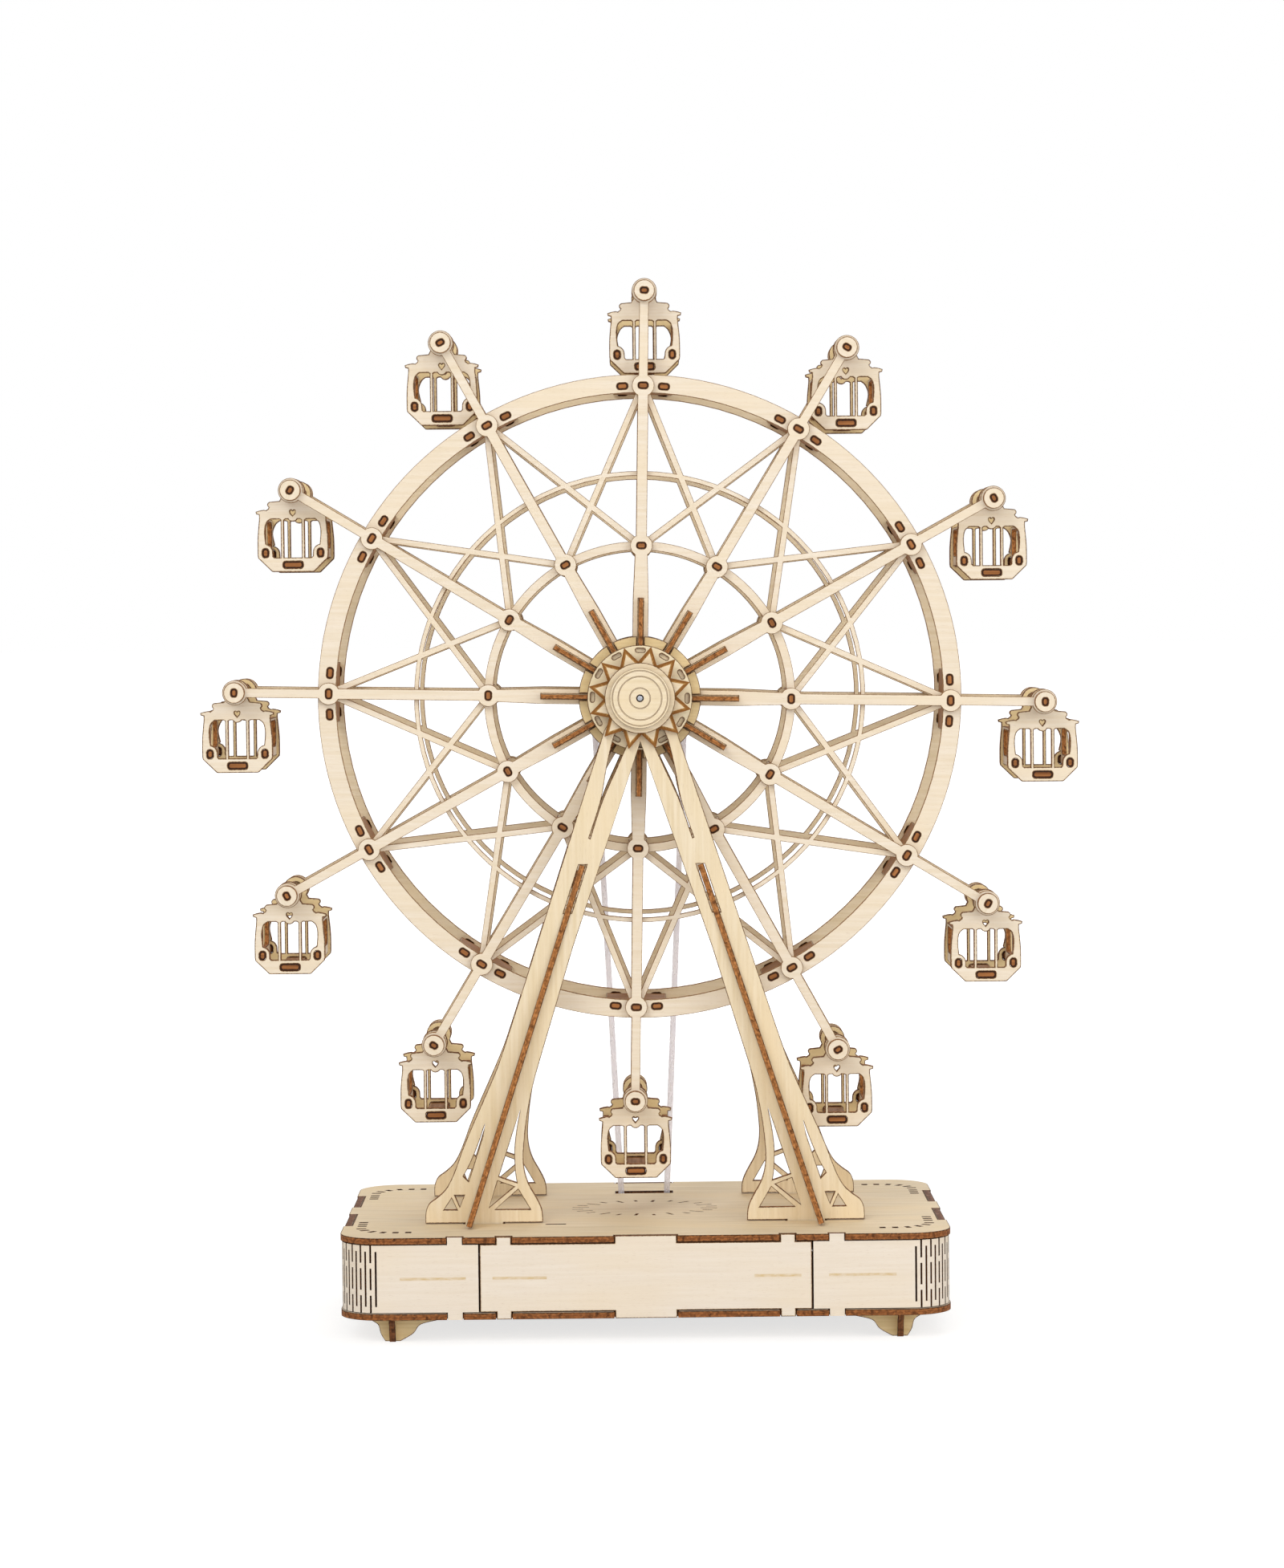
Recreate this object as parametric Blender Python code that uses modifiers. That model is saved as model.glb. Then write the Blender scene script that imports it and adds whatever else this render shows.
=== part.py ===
"""Ferris wheel music box puzzle, built from laser-cut plywood sheets around a clockwork movement.

The wheel turns on a steel axle between two A-shaped supports, twelve cabins hang from its arms,
and a belt behind the rear support links it to the movement inside the base. The origin is on the
floor under the middle of the base, +Z is up and the front faces -Y.
"""

import math

import bmesh
import bpy
from mathutils import Matrix, Vector

MM = 0.001
WELD = 1e-7
FLAT_ANGLE = math.radians(0.05)
FILL_TURN = 17.3

# Sheet stock and clearances
PLY = 2.0 * MM
GAP = 0.3 * MM
TENON_LONG = 3.1 * MM
TENON_SHORT = 2.5 * MM

# Base
BASE_WIDTH = 187.0 * MM
BASE_DEPTH = 122.0 * MM
BASE_CORNER = 13.0 * MM
FOOT_HEIGHT = 7.4 * MM
BASE_INSIDE = 21.2 * MM
WALL_INSET = 0.4 * MM
SEAM_X = 50.7 * MM
MIDDLE_TAB = 18.8 * MM
SMALL_TAB = 4.5 * MM
PANEL_TAB_X = 43.2 * MM
CORNER_TAB_X = 58.1 * MM
SIDE_TAB_NEAR = 8.0 * MM
SIDE_TAB_FAR = 33.5 * MM
CORNER_STEPS = 6
TAB_INSET = 0.05 * MM
TAB_ROOT = 1.0 * MM
BOTTOM_TOP = FOOT_HEIGHT + PLY
TOP_UNDER = BOTTOM_TOP + BASE_INSIDE
BASE_TOP = TOP_UNDER + PLY

# Feet, two crossed plates each
FOOT_INSET_X = 16.0 * MM
FOOT_INSET_Y = 8.0 * MM
FOOT_X = BASE_WIDTH / 2 - FOOT_INSET_X
FOOT_Y = BASE_DEPTH / 2 - FOOT_INSET_Y
FOOT_OUTER = 6.2 * MM
FOOT_INNER = 13.5 * MM
FOOT_SOLE = 2.3 * MM
FOOT_TENON = 5.0 * MM
FOOT_TENON_AT = 8.0 * MM

# Hub trim on the supports
STAR_RADIUS = 15.6 * MM
STAR_VALLEY = 11.3 * MM
STAR_RAYS = 12
CAP_RADIUS = 10.9 * MM
CAP_STEP_RADIUS = 9.2 * MM
BEARING_RADIUS = 10.5 * MM

# Cabins
CABIN_DEPTH = 28.6 * MM
EAR_RADIUS = 3.95 * MM
PIVOT_HOLE = 2.2 * MM
ROD_LONG = 2.8 * MM
ROD_SHORT = 2.0 * MM
CABIN_TIER = (7.2 * MM, 3.3 * MM)
CABIN_BRIM = (11.55 * MM, 6.4 * MM)
CABIN_BODY_TOP = (10.5 * MM, 7.6 * MM)
CABIN_BODY_LOW = (11.0 * MM, 20.4 * MM)
CABIN_BOTTOM = (6.4 * MM, 25.2 * MM)
CABIN_WINDOW = (8.5 * MM, 8.8 * MM, 20.7 * MM)
WINDOW_TAPER = 2.1 * MM
CABIN_WALL = 1.6 * MM
CABIN_SLOT_DROP = 23.1 * MM
CABIN_FACE_Y = CABIN_DEPTH / 2

# Wheel
ARMS = 12
WHEEL_PHASE = 1.2
RIM_RADIUS = 97.6 * MM
RIM_WIDTH = 5.6 * MM
MIDDLE_RING_RADIUS = 69.7 * MM
MIDDLE_RING_WIDTH = 2.0 * MM
INNER_RING_RADIUS = 47.2 * MM
INNER_RING_WIDTH = 2.7 * MM
LATTICE_WIDTH = 2.0 * MM
WEB_Y = 18.4 * MM
CABIN_CLEARANCE = 1.6 * MM
CABIN_REACH = math.hypot(*CABIN_BOTTOM)
PIVOT_RADIUS = RIM_RADIUS + PLY / 2 + CABIN_REACH + CABIN_CLEARANCE
SPOKE_TIP_WIDTH = 2.9 * MM
SPOKE_MIDDLE_WIDTH = 3.4 * MM
SPOKE_HUB_WIDTH = 4.9 * MM
NODE_RADIUS = 3.4 * MM
TIP_RADIUS = 3.9 * MM
CROSS_PLATE_LENGTH = 19.0 * MM
INNER_BAR_WIDTH = 5.8 * MM
RIM_STEPS = 3
RING_STEPS = 2
NODE_STEPS = 1
WEB_INSIDE = WEB_Y - PLY / 2
WEB_OUTSIDE = WEB_Y + PLY / 2
SPOKE_Y = WEB_OUTSIDE + GAP + PLY / 2
SPOKE_OUTSIDE = SPOKE_Y + PLY / 2

# A-shaped supports
SUPPORT_Y = 31.0 * MM
SWING_CLEARANCE = 11.4 * MM
HUB_HEIGHT = PIVOT_RADIUS + CABIN_BOTTOM[1] + SWING_CLEARANCE
BOSS_RADIUS = 11.0 * MM
FORK_APEX = 13.6 * MM
SUPPORT_TENON = 12.0 * MM
SUPPORT_TENON_X = 50.0 * MM
RIB_TOP_X = 18.2 * MM
RIB_TOP_DROP = 51.5 * MM
RIB_TOP = (RIB_TOP_X, HUB_HEIGHT - RIB_TOP_DROP)
RIB_FOOT_X = 54.5 * MM
RIB_TENON = 15.0 * MM
RIB_DEPTH_TOP = 0.6 * MM
RIB_DEPTH_FOOT = 13.0 * MM
STRIP_HALF = 4.9 * MM
SLIT_WIDTH = 2.2 * MM
OUTER_SLIT_TOP = 30.9 * MM
OUTER_SLIT_LOW = 11.8 * MM
INNER_SLIT_TOP = 36.0 * MM
INNER_SLIT_LOW = 13.6 * MM
INNER_SLIT_X = 40.6 * MM
FOOT_BAR = 3.0 * MM
FOOT_CHORD = 5.0 * MM
OUTER_TRIANGLE_X = 62.6 * MM
INNER_TRIANGLE_X = 36.0 * MM

# Wheel hub
HUB_DISC_RADIUS = 19.0 * MM
HUB_DISC_Y = SPOKE_OUTSIDE + GAP + PLY / 2
SLOTTED_DISC_RADIUS = 16.3 * MM
FIN_INNER = 14.0 * MM
FIN_OUTER = 30.7 * MM
FIN_TAB = 1.5 * MM
SLOTTED_DISC_Y = SUPPORT_Y - PLY - GAP
FIN_FRONT = SLOTTED_DISC_Y - PLY / 2 - GAP
AXLE_RADIUS = 1.5 * MM

# Wheel pulley, belt and drive pulley
PULLEY_FLANGE = 2.0 * MM
BELT_DIAMETER = 1.6 * MM
BELT_WHEEL_RADIUS = 15.0 * MM
BELT_DRIVE_RADIUS = 6.85 * MM
PULLEY_RIM = 2.2 * MM
BEARING_Y = SUPPORT_Y + PLY + GAP
BELT_Y = BEARING_Y + PLY / 2 + GAP + PULLEY_FLANGE + PLY / 2
BELT_SLOT_WIDTH = 18.0 * MM
BELT_SLOT_DEPTH = 3.2 * MM
DRIVE_AXIS_Z = 19.7 * MM

# Movement inside the base
BARREL_Y = 12.0 * MM
BARREL_RADIUS = 10.0 * MM
BARREL_TOP = 22.0 * MM
FRICTION_DISC_RADIUS = 18.0 * MM
ROLLER_RADIUS = 6.0 * MM
ROLLER_WIDTH = 4.0 * MM
ROLLER_Y = 26.0 * MM
SHAFT_RADIUS = 1.5 * MM
BRACKET_HALF = 8.0 * MM
BRACKET_RISE = 5.4 * MM
BRACKET_TENON = 6.0 * MM
BEDPLATE_HALF = 26.0 * MM
BEDPLATE_FRONT = -24.0 * MM
BEDPLATE_BACK = 22.6 * MM
BEDPLATE_THICK = 2.5 * MM
CYLINDER_RADIUS = 4.6 * MM
CYLINDER_LENGTH = 27.0 * MM
CYLINDER_Y = -5.0 * MM
CYLINDER_Z = 17.8 * MM
COMB_TEETH = 18
COMB_PITCH = 1.4 * MM
COMB_TOOTH = 1.0 * MM
COMB_THICK = 1.0 * MM
COMB_BACK_Y = -21.5 * MM
COMB_ROOT_Y = -15.5 * MM
PIN_CLEARANCE = 0.8 * MM
COMB_SCREW_X = 8.0 * MM
COMB_SCREW_SHANK = 1.2 * MM
SCREW_HEAD = 2.0 * MM
SCREW_HEAD_HEIGHT = 1.0 * MM
EAR_FOOT = 4.0 * MM
EAR_TOP = 2.5 * MM
EAR_RISE = 3.0 * MM
EAR_THICK = 1.5 * MM
GOVERNOR_X = -20.0 * MM
GOVERNOR_Y = -2.0 * MM
GOVERNOR_TOP = 22.0 * MM
GOVERNOR_ARM = 2.0 * MM
GOVERNOR_WIDTH = 3.0 * MM
FLY_RADIUS = 3.5 * MM
FLY_SPINDLE = 0.6 * MM
FLY_BLADE = 0.8 * MM
FLY_HEIGHT = 5.0 * MM
KEY_SPAN = 24.0 * MM
KEY_HEIGHT = 3.2 * MM
KEY_CLEARANCE = 1.2 * MM
BEDPLATE_TOP = BOTTOM_TOP + GAP + BEDPLATE_THICK
FRICTION_DISC_Z = DRIVE_AXIS_Z + ROLLER_RADIUS + GAP + PLY / 2

HUB_Z = BASE_TOP + HUB_HEIGHT
ENLARGED = 1000.0
STAND = Matrix.Rotation(math.radians(90), 4, "X")
EDGE_ON = Matrix.Rotation(math.radians(-90), 4, "Y")

PLYWOOD = ((0.82, 0.70, 0.53), 0.62, 0.0)
WARM_PLYWOOD = ((0.76, 0.60, 0.40), 0.62, 0.0)
CUT_PLYWOOD = ((0.42, 0.20, 0.07), 0.7, 0.0)
STEEL = ((0.62, 0.62, 0.63), 0.28, 1.0)
BRASS = ((0.72, 0.52, 0.22), 0.32, 1.0)
RUBBER = ((0.03, 0.03, 0.03), 0.75, 0.0)
CLEAR_BELT = ((0.80, 0.76, 0.82), 0.35, 0.0)


def clear_scene():
    for found in list(bpy.data.objects):
        bpy.data.objects.remove(found, do_unlink=True)


def new_collection(name):
    collection = bpy.data.collections.new(name)
    bpy.context.scene.collection.children.link(collection)
    return collection


def finish_for(name, look):
    colour, roughness, metallic = look
    finish = bpy.data.materials.new(name + "_finish")
    finish.use_nodes = True
    shader = finish.node_tree.nodes["Principled BSDF"]
    shader.inputs["Base Color"].default_value = (*colour, 1.0)
    shader.inputs["Roughness"].default_value = roughness
    shader.inputs["Metallic"].default_value = metallic
    return finish


def at(x, y, z):
    return Matrix.Translation((x, y, z))


def about_hub(index):
    """Turn from the top arm to the arm with this index, clockwise from the front."""
    return Matrix.Rotation(math.radians(360 / ARMS * index), 4, "Y")


def polar(radius, degrees):
    """A point at an angle that runs clockwise from straight up."""
    angle = math.radians(degrees)
    return (radius * math.sin(angle), radius * math.cos(angle))


def arc(radius, start, stop, steps, centre=(0.0, 0.0)):
    """Points on an arc whose angles run clockwise from straight up."""
    points = []
    for index in range(steps + 1):
        x, y = polar(radius, start + (stop - start) * index / steps)
        points.append((centre[0] + x, centre[1] + y))
    return points


def circle(radius, steps, centre=(0.0, 0.0)):
    return arc(radius, 0, 360 - 360 / steps, steps - 1, centre)


def rectangle(half_x, half_y, centre=(0.0, 0.0)):
    x, y = centre
    return [
        (x - half_x, y - half_y),
        (x + half_x, y - half_y),
        (x + half_x, y + half_y),
        (x - half_x, y + half_y),
    ]


def mirrored(points):
    return [(-x, y) for x, y in reversed(points)]


def turned_outline(points, degrees):
    """The outline turned clockwise about its own origin."""
    angle = math.radians(degrees)
    sine = math.sin(angle)
    cosine = math.cos(angle)
    return [(x * cosine + y * sine, y * cosine - x * sine) for x, y in points]


def clipped(points, start, end, offset):
    """What is left of a convex outline on the right of a line that is moved right by offset."""
    direction = (Vector(end) - Vector(start)).normalized()
    normal = Vector((direction.y, -direction.x))
    kept = []
    count = len(points)
    for index in range(count):
        here = Vector(points[index])
        there = Vector(points[(index + 1) % count])
        depth_here = (here - Vector(start)).dot(normal) - offset
        depth_there = (there - Vector(start)).dot(normal) - offset
        if depth_here >= 0:
            kept.append((here.x, here.y))
        if (depth_here >= 0) != (depth_there >= 0):
            share = depth_here / (depth_here - depth_there)
            cut = here.lerp(there, share)
            kept.append((cut.x, cut.y))
    return kept


def welded(mesh):
    """The mesh with its points welded and its flat faces merged."""
    shape = bmesh.new()
    shape.from_mesh(mesh)
    bmesh.ops.remove_doubles(shape, verts=shape.verts, dist=WELD * ENLARGED)
    bmesh.ops.dissolve_limit(
        shape,
        angle_limit=FLAT_ANGLE,
        verts=shape.verts,
        edges=shape.edges,
    )
    bmesh.ops.recalc_face_normals(shape, faces=shape.faces)
    shape.to_mesh(mesh)
    shape.free()
    return mesh


def evaluated_mesh(drawn):
    """The evaluated mesh of an object drawn enlarged, welded and brought to real size.

    Fills and Booleans lose features under a tenth of a millimetre at real size, so the
    object is drawn enlarged. It is removed.
    """
    bpy.context.scene.collection.objects.link(drawn)
    graph = bpy.context.evaluated_depsgraph_get()
    mesh = welded(bpy.data.meshes.new_from_object(drawn.evaluated_get(graph)))
    bpy.data.objects.remove(drawn, do_unlink=True)
    mesh.transform(Matrix.Scale(1 / ENLARGED, 4))
    return mesh


def enlarged(mesh):
    """A copy of the mesh at the enlarged size, in triangles, which stay flat when turned."""
    large = mesh.copy()
    shape = bmesh.new()
    shape.from_mesh(mesh)
    bmesh.ops.triangulate(shape, faces=shape.faces)
    shape.to_mesh(large)
    shape.free()
    large.transform(Matrix.Scale(ENLARGED, 4))
    return large


def sheet(outlines, thickness):
    """A flat plate in the XY plane, centred on it, from outlines; an outline inside another is a hole.

    A fill leaves faces without area where several points share a height, so the outlines are
    drawn turned and the plate is turned back.
    """
    curve = bpy.data.curves.new("sheet", "CURVE")
    curve.dimensions = "2D"
    curve.fill_mode = "BOTH"
    curve.extrude = thickness / 2 * ENLARGED
    for points in outlines:
        spline = curve.splines.new("POLY")
        spline.points.add(len(points) - 1)
        for point, (x, y) in zip(spline.points, turned_outline(points, FILL_TURN)):
            point.co = (x * ENLARGED, y * ENLARGED, 0, 1)
        spline.use_cyclic_u = True
    plate = evaluated_mesh(bpy.data.objects.new("sheet", curve))
    plate.transform(Matrix.Rotation(math.radians(FILL_TURN), 4, "Z"))
    return plate


def rod(radius, low, high, steps):
    """A cylinder along Z between two heights."""
    mesh = bpy.data.meshes.new("rod")
    shape = bmesh.new()
    bmesh.ops.create_cone(
        shape,
        cap_ends=True,
        segments=steps,
        radius1=radius,
        radius2=radius,
        depth=high - low,
        matrix=at(0, 0, (low + high) / 2),
    )
    shape.to_mesh(mesh)
    shape.free()
    return mesh


def block(low, high):
    """A box between two corners."""
    low = Vector(low)
    high = Vector(high)
    size = high - low
    mesh = bpy.data.meshes.new("block")
    shape = bmesh.new()
    place = Matrix.Translation((low + high) / 2) @ Matrix.Diagonal((*size, 1.0))
    bmesh.ops.create_cube(shape, size=1.0, matrix=place)
    shape.to_mesh(mesh)
    shape.free()
    return mesh


def turned(profile, steps):
    """A closed profile of radius and height, turned about Z with a Screw modifier."""
    mesh = bpy.data.meshes.new("turned")
    points = [(radius * ENLARGED, 0.0, height * ENLARGED) for radius, height in profile]
    edges = [(index, (index + 1) % len(points)) for index in range(len(points))]
    mesh.from_pydata(points, edges, [])
    drawn = bpy.data.objects.new("turned", mesh)
    screw = drawn.modifiers.new("Screw", "SCREW")
    screw.axis = "Z"
    screw.steps = steps
    screw.render_steps = steps
    screw.use_merge_vertices = True
    screw.merge_threshold = WELD * ENLARGED
    return evaluated_mesh(drawn)


def united(mesh, placed):
    """A mesh joined with placed meshes, through a Boolean on temporary objects."""
    drawn = bpy.data.objects.new("drawn", enlarged(mesh))
    other = bpy.data.objects.new("other", enlarged(grouped(placed)))
    bpy.context.scene.collection.objects.link(other)
    other.hide_render = True
    other.display_type = "WIRE"
    boolean = drawn.modifiers.new("Boolean", "BOOLEAN")
    boolean.operation = "UNION"
    boolean.solver = "EXACT"
    boolean.object = other
    result = evaluated_mesh(drawn)
    bpy.data.objects.remove(other, do_unlink=True)
    return result


def grouped(placed):
    """One mesh that holds several placed meshes that don't touch each other."""
    mesh = bpy.data.meshes.new("grouped")
    shape = bmesh.new()
    for source, place in placed:
        piece = source.copy()
        piece.transform(place)
        shape.from_mesh(piece)
        bpy.data.meshes.remove(piece)
    shape.to_mesh(mesh)
    shape.free()
    return mesh


def add_piece(collection, name, shape, place, look, parent=None):
    """Add one named piece whose origin is its parent's, with its shape placed in that frame."""
    mesh = shape.copy()
    mesh.name = name
    mesh.transform(place)
    mesh.materials.append(finish_for(name, look))
    mesh.shade_smooth()
    mesh.set_sharp_from_angle(angle=math.radians(30))
    piece = bpy.data.objects.new(name, mesh)
    piece.parent = parent
    collection.objects.link(piece)
    return piece


def add_axis(collection, name, location, turn=0.0):
    """An empty on a joint's axis that carries the pieces that turn together."""
    axis = bpy.data.objects.new(name, None)
    axis.location = location
    axis.rotation_euler = (0.0, math.radians(turn), 0.0)
    collection.objects.link(axis)
    return axis


def edge_tabs():
    """Where the tabs along the front and the back edge lie, from left to right."""
    small = SMALL_TAB / 2
    tabs = [(-MIDDLE_TAB / 2, MIDDLE_TAB / 2)]
    for middle in (PANEL_TAB_X, CORNER_TAB_X):
        tabs.append((middle - small, middle + small))
        tabs.append((-middle - small, -middle + small))
    return sorted(tabs)


def side_tabs():
    return [(-SIDE_TAB_FAR, -SIDE_TAB_NEAR), (SIDE_TAB_NEAR, SIDE_TAB_FAR)]


def base_outline():
    """The base plate's outline, with a notch for each tab of the walls."""
    half_x = BASE_WIDTH / 2
    half_y = BASE_DEPTH / 2
    notch = WALL_INSET + PLY + GAP
    points = []
    for low, high in edge_tabs():
        points.append((low - GAP, -half_y))
        points.append((low - GAP, -half_y + notch))
        points.append((high + GAP, -half_y + notch))
        points.append((high + GAP, -half_y))
    front = (half_x - BASE_CORNER, -half_y + BASE_CORNER)
    points += arc(BASE_CORNER, 180, 90, CORNER_STEPS, front)
    for low, high in side_tabs():
        points.append((half_x, low - GAP))
        points.append((half_x - notch, low - GAP))
        points.append((half_x - notch, high + GAP))
        points.append((half_x, high + GAP))
    back = (half_x - BASE_CORNER, half_y - BASE_CORNER)
    points += arc(BASE_CORNER, 90, 0, CORNER_STEPS, back)
    return points + [(-x, -y) for x, y in points]


def foot_places():
    """The middle of each foot and the way its long arm points along X."""
    places = []
    for side in (-1, 1):
        for face in (-1, 1):
            places.append((side * FOOT_X, face * FOOT_Y, -side))
    return places


def foot_tenon_slots():
    slots = []
    for x, y, inward in foot_places():
        slots.append(rectangle(FOOT_TENON / 2 + GAP, PLY / 2 + GAP, (x + inward * FOOT_TENON_AT, y)))
    return slots


def shaft_bracket_places():
    near = ROLLER_Y + ROLLER_WIDTH / 2 + PLY / 2 + 2 * GAP
    far = BELT_Y + PLY / 2 + PULLEY_FLANGE + PLY / 2 + 2 * GAP
    return (near, far)


def top_plate():
    """Top plate with the belt slot and the slots for the supports' tenons."""
    outlines = [base_outline()]
    outlines.append(rectangle(BELT_SLOT_WIDTH / 2, BELT_SLOT_DEPTH / 2, (0.0, BELT_Y)))
    for side in (-1, 1):
        for face in (-1, 1):
            middle = (side * SUPPORT_TENON_X, face * SUPPORT_Y)
            outlines.append(rectangle(SUPPORT_TENON / 2 + GAP, PLY / 2 + GAP, middle))
    return sheet(outlines, PLY)


def bottom_plate():
    """Bottom plate with the hole for the winding shaft and the slots for feet and brackets."""
    outlines = [base_outline()]
    outlines.append(circle(SHAFT_RADIUS + PLY, 12, (0.0, BARREL_Y)))
    outlines += foot_tenon_slots()
    for y in shaft_bracket_places():
        outlines.append(rectangle(BRACKET_TENON / 2 + GAP, PLY / 2 + GAP, (0.0, y)))
    return sheet(outlines, PLY)


def wall_heights():
    return (BOTTOM_TOP + GAP, TOP_UNDER - GAP)


def panel():
    """Flat front or back panel with tabs into both plates, in the XZ plane."""
    low, high = wall_heights()
    half = SEAM_X - GAP / 2
    tabs = [tab for tab in edge_tabs() if abs(tab[0]) < SEAM_X]
    points = [(-half, low)]
    for start, stop in tabs:
        points += [(start, low), (start, FOOT_HEIGHT), (stop, FOOT_HEIGHT), (stop, low)]
    points += [(half, low), (half, high)]
    for start, stop in reversed(tabs):
        points += [(stop, high), (stop, BASE_TOP), (start, BASE_TOP), (start, high)]
    points.append((-half, high))
    return sheet([points], PLY)


def side_wall():
    """The wall round one end of the base: a C-shaped strip, with its tabs joined to it."""
    low, high = wall_heights()
    outer_x = BASE_WIDTH / 2 - WALL_INSET
    outer_y = BASE_DEPTH / 2 - WALL_INSET
    radius = BASE_CORNER - WALL_INSET
    centre_x = outer_x - radius
    centre_y = outer_y - radius
    start = SEAM_X + GAP / 2
    outer = [(start, -outer_y)]
    outer += arc(radius, 180, 90, CORNER_STEPS, (centre_x, -centre_y))
    outer += arc(radius, 90, 0, CORNER_STEPS, (centre_x, centre_y))
    outer.append((start, outer_y))
    inner = [(start, outer_y - PLY)]
    inner += arc(radius - PLY, 0, 90, CORNER_STEPS, (centre_x, centre_y))
    inner += arc(radius - PLY, 90, 180, CORNER_STEPS, (centre_x, -centre_y))
    inner.append((start, -outer_y + PLY))
    wall = sheet([outer + inner], high - low)
    wall.transform(at(0, 0, (low + high) / 2))
    tabs = []
    for face in (-1, 1):
        near, far = sorted((face * (outer_y - TAB_INSET), face * (outer_y - PLY + TAB_INSET)))
        left = CORNER_TAB_X - SMALL_TAB / 2
        right = CORNER_TAB_X + SMALL_TAB / 2
        tabs.append((block((left, near, high - TAB_ROOT), (right, far, BASE_TOP)), Matrix()))
        tabs.append((block((left, near, FOOT_HEIGHT), (right, far, low + TAB_ROOT)), Matrix()))
    for start_y, stop_y in side_tabs():
        inside = outer_x - PLY + TAB_INSET
        outside = outer_x - TAB_INSET
        tabs.append((block((inside, start_y, high - TAB_ROOT), (outside, stop_y, BASE_TOP)), Matrix()))
        tabs.append((block((inside, start_y, FOOT_HEIGHT), (outside, stop_y, low + TAB_ROOT)), Matrix()))
    return united(wall, tabs)


def foot_profile(inner, outer):
    """Half profiles of a foot from its sole up to its flared top, right side then left."""
    top = FOOT_HEIGHT - GAP
    sole = FOOT_SOLE
    flare = []
    for reach in (inner, outer):
        flare.append([
            (sole, 0.0),
            (sole + 0.35 * (reach - sole), 0.32 * top),
            (sole + 0.55 * (reach - sole), 0.70 * top),
            (reach, 0.88 * top),
            (reach, top),
        ])
    return flare


def foot():
    """Two crossed foot plates joined into one foot, its long arm and its tenon at +X."""
    right, left = foot_profile(FOOT_INNER, FOOT_OUTER)
    top = FOOT_HEIGHT - GAP
    tenon = (FOOT_TENON_AT - FOOT_TENON / 2, FOOT_TENON_AT + FOOT_TENON / 2)
    points = list(right)
    points += [(tenon[1], top), (tenon[1], BOTTOM_TOP), (tenon[0], BOTTOM_TOP), (tenon[0], top)]
    points += mirrored(left)
    along = sheet([points], PLY)
    along.transform(STAND)
    short = foot_profile(FOOT_OUTER, FOOT_OUTER)[0]
    across = sheet([short + mirrored(short)], PLY)
    quarter = Matrix.Rotation(math.radians(90), 4, "Z")
    return united(along, [(across, quarter @ STAND)])


def rib_x(height):
    """Distance of a leg's centre line from the middle, at a height above the base."""
    share = (RIB_TOP[1] - height) / RIB_TOP[1]
    return RIB_TOP[0] + (RIB_FOOT_X - RIB_TOP[0]) * share


def leg_outline():
    """Outer and inner edge of the right leg, from shares of the leg's spread and height."""
    outer = [
        (0.206, 0.938),
        (0.497, 0.620),
        (0.699, 0.433),
        (0.901, 0.297),
        (1.035, 0.136),
        (1.108, 0.0706),
        (1.250, 0.0209),
    ]
    inner = [
        (0.582, 0.0184),
        (0.642, 0.0632),
        (0.686, 0.0982),
        (0.672, 0.184),
        (0.640, 0.258),
        (0.572, 0.348),
        (0.477, 0.433),
        (0.262, 0.620),
    ]
    return (scaled(outer, RIB_FOOT_X, HUB_HEIGHT), scaled(inner, RIB_FOOT_X, HUB_HEIGHT))


def scaled(shares, width, height):
    return [(x * width, y * height) for x, y in shares]


def leg_cutouts():
    """Openings of the right leg: the fork under the hub, the rib's slot and those at the foot."""
    fork = scaled([
        (1.441, -3.945),
        (1.091, -2.900),
        (0.691, -2.009),
        (0.345, -1.245),
        (0.273, -1.055),
        (0.636, -0.873),
        (0.791, -1.245),
        (0.964, -2.009),
        (1.132, -2.900),
        (1.473, -3.927),
    ], BOSS_RADIUS, BOSS_RADIUS)
    fork = [(x, HUB_HEIGHT + y) for x, y in fork]
    half = PLY / 2 + GAP
    low = RIB_TOP[1] - RIB_TENON
    slot = [
        (rib_x(low) - half, low),
        (rib_x(low) + half, low),
        (RIB_TOP[0] + half, RIB_TOP[1]),
        (RIB_TOP[0] - half, RIB_TOP[1]),
    ]
    return [fork, slot] + foot_openings()


def foot_openings():
    """Slits and triangles beside the right leg's middle strip, near the base."""
    strip = STRIP_HALF
    chord = FOOT_CHORD
    slit_top = OUTER_SLIT_TOP
    slit_low = OUTER_SLIT_LOW
    outer_slit = [
        (rib_x(slit_top) + strip, slit_top),
        (rib_x(slit_low) + strip, slit_low),
        (rib_x(slit_low) + strip + 1.5 * SLIT_WIDTH, slit_low + GAP),
        (rib_x(slit_top / 2) + strip + SLIT_WIDTH, slit_top / 2),
    ]
    bar_top = slit_low - FOOT_BAR
    outer_triangle = [
        (rib_x(bar_top) + strip, bar_top),
        (rib_x(chord) + strip, chord),
        (OUTER_TRIANGLE_X, chord),
    ]
    slit_top = INNER_SLIT_TOP
    slit_low = INNER_SLIT_LOW
    inner_slit = [
        (rib_x(slit_top) - strip, slit_top),
        (rib_x(slit_top / 2) - strip - SLIT_WIDTH, slit_top / 2),
        (INNER_SLIT_X, slit_low),
        (rib_x(slit_low) - strip, slit_low),
    ]
    bar_top = slit_low - FOOT_BAR
    inner_triangle = [
        (rib_x(bar_top) - strip, bar_top),
        (INNER_TRIANGLE_X, chord),
        (rib_x(chord) - strip, chord),
    ]
    return [outer_slit, outer_triangle, inner_slit, inner_triangle]


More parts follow.
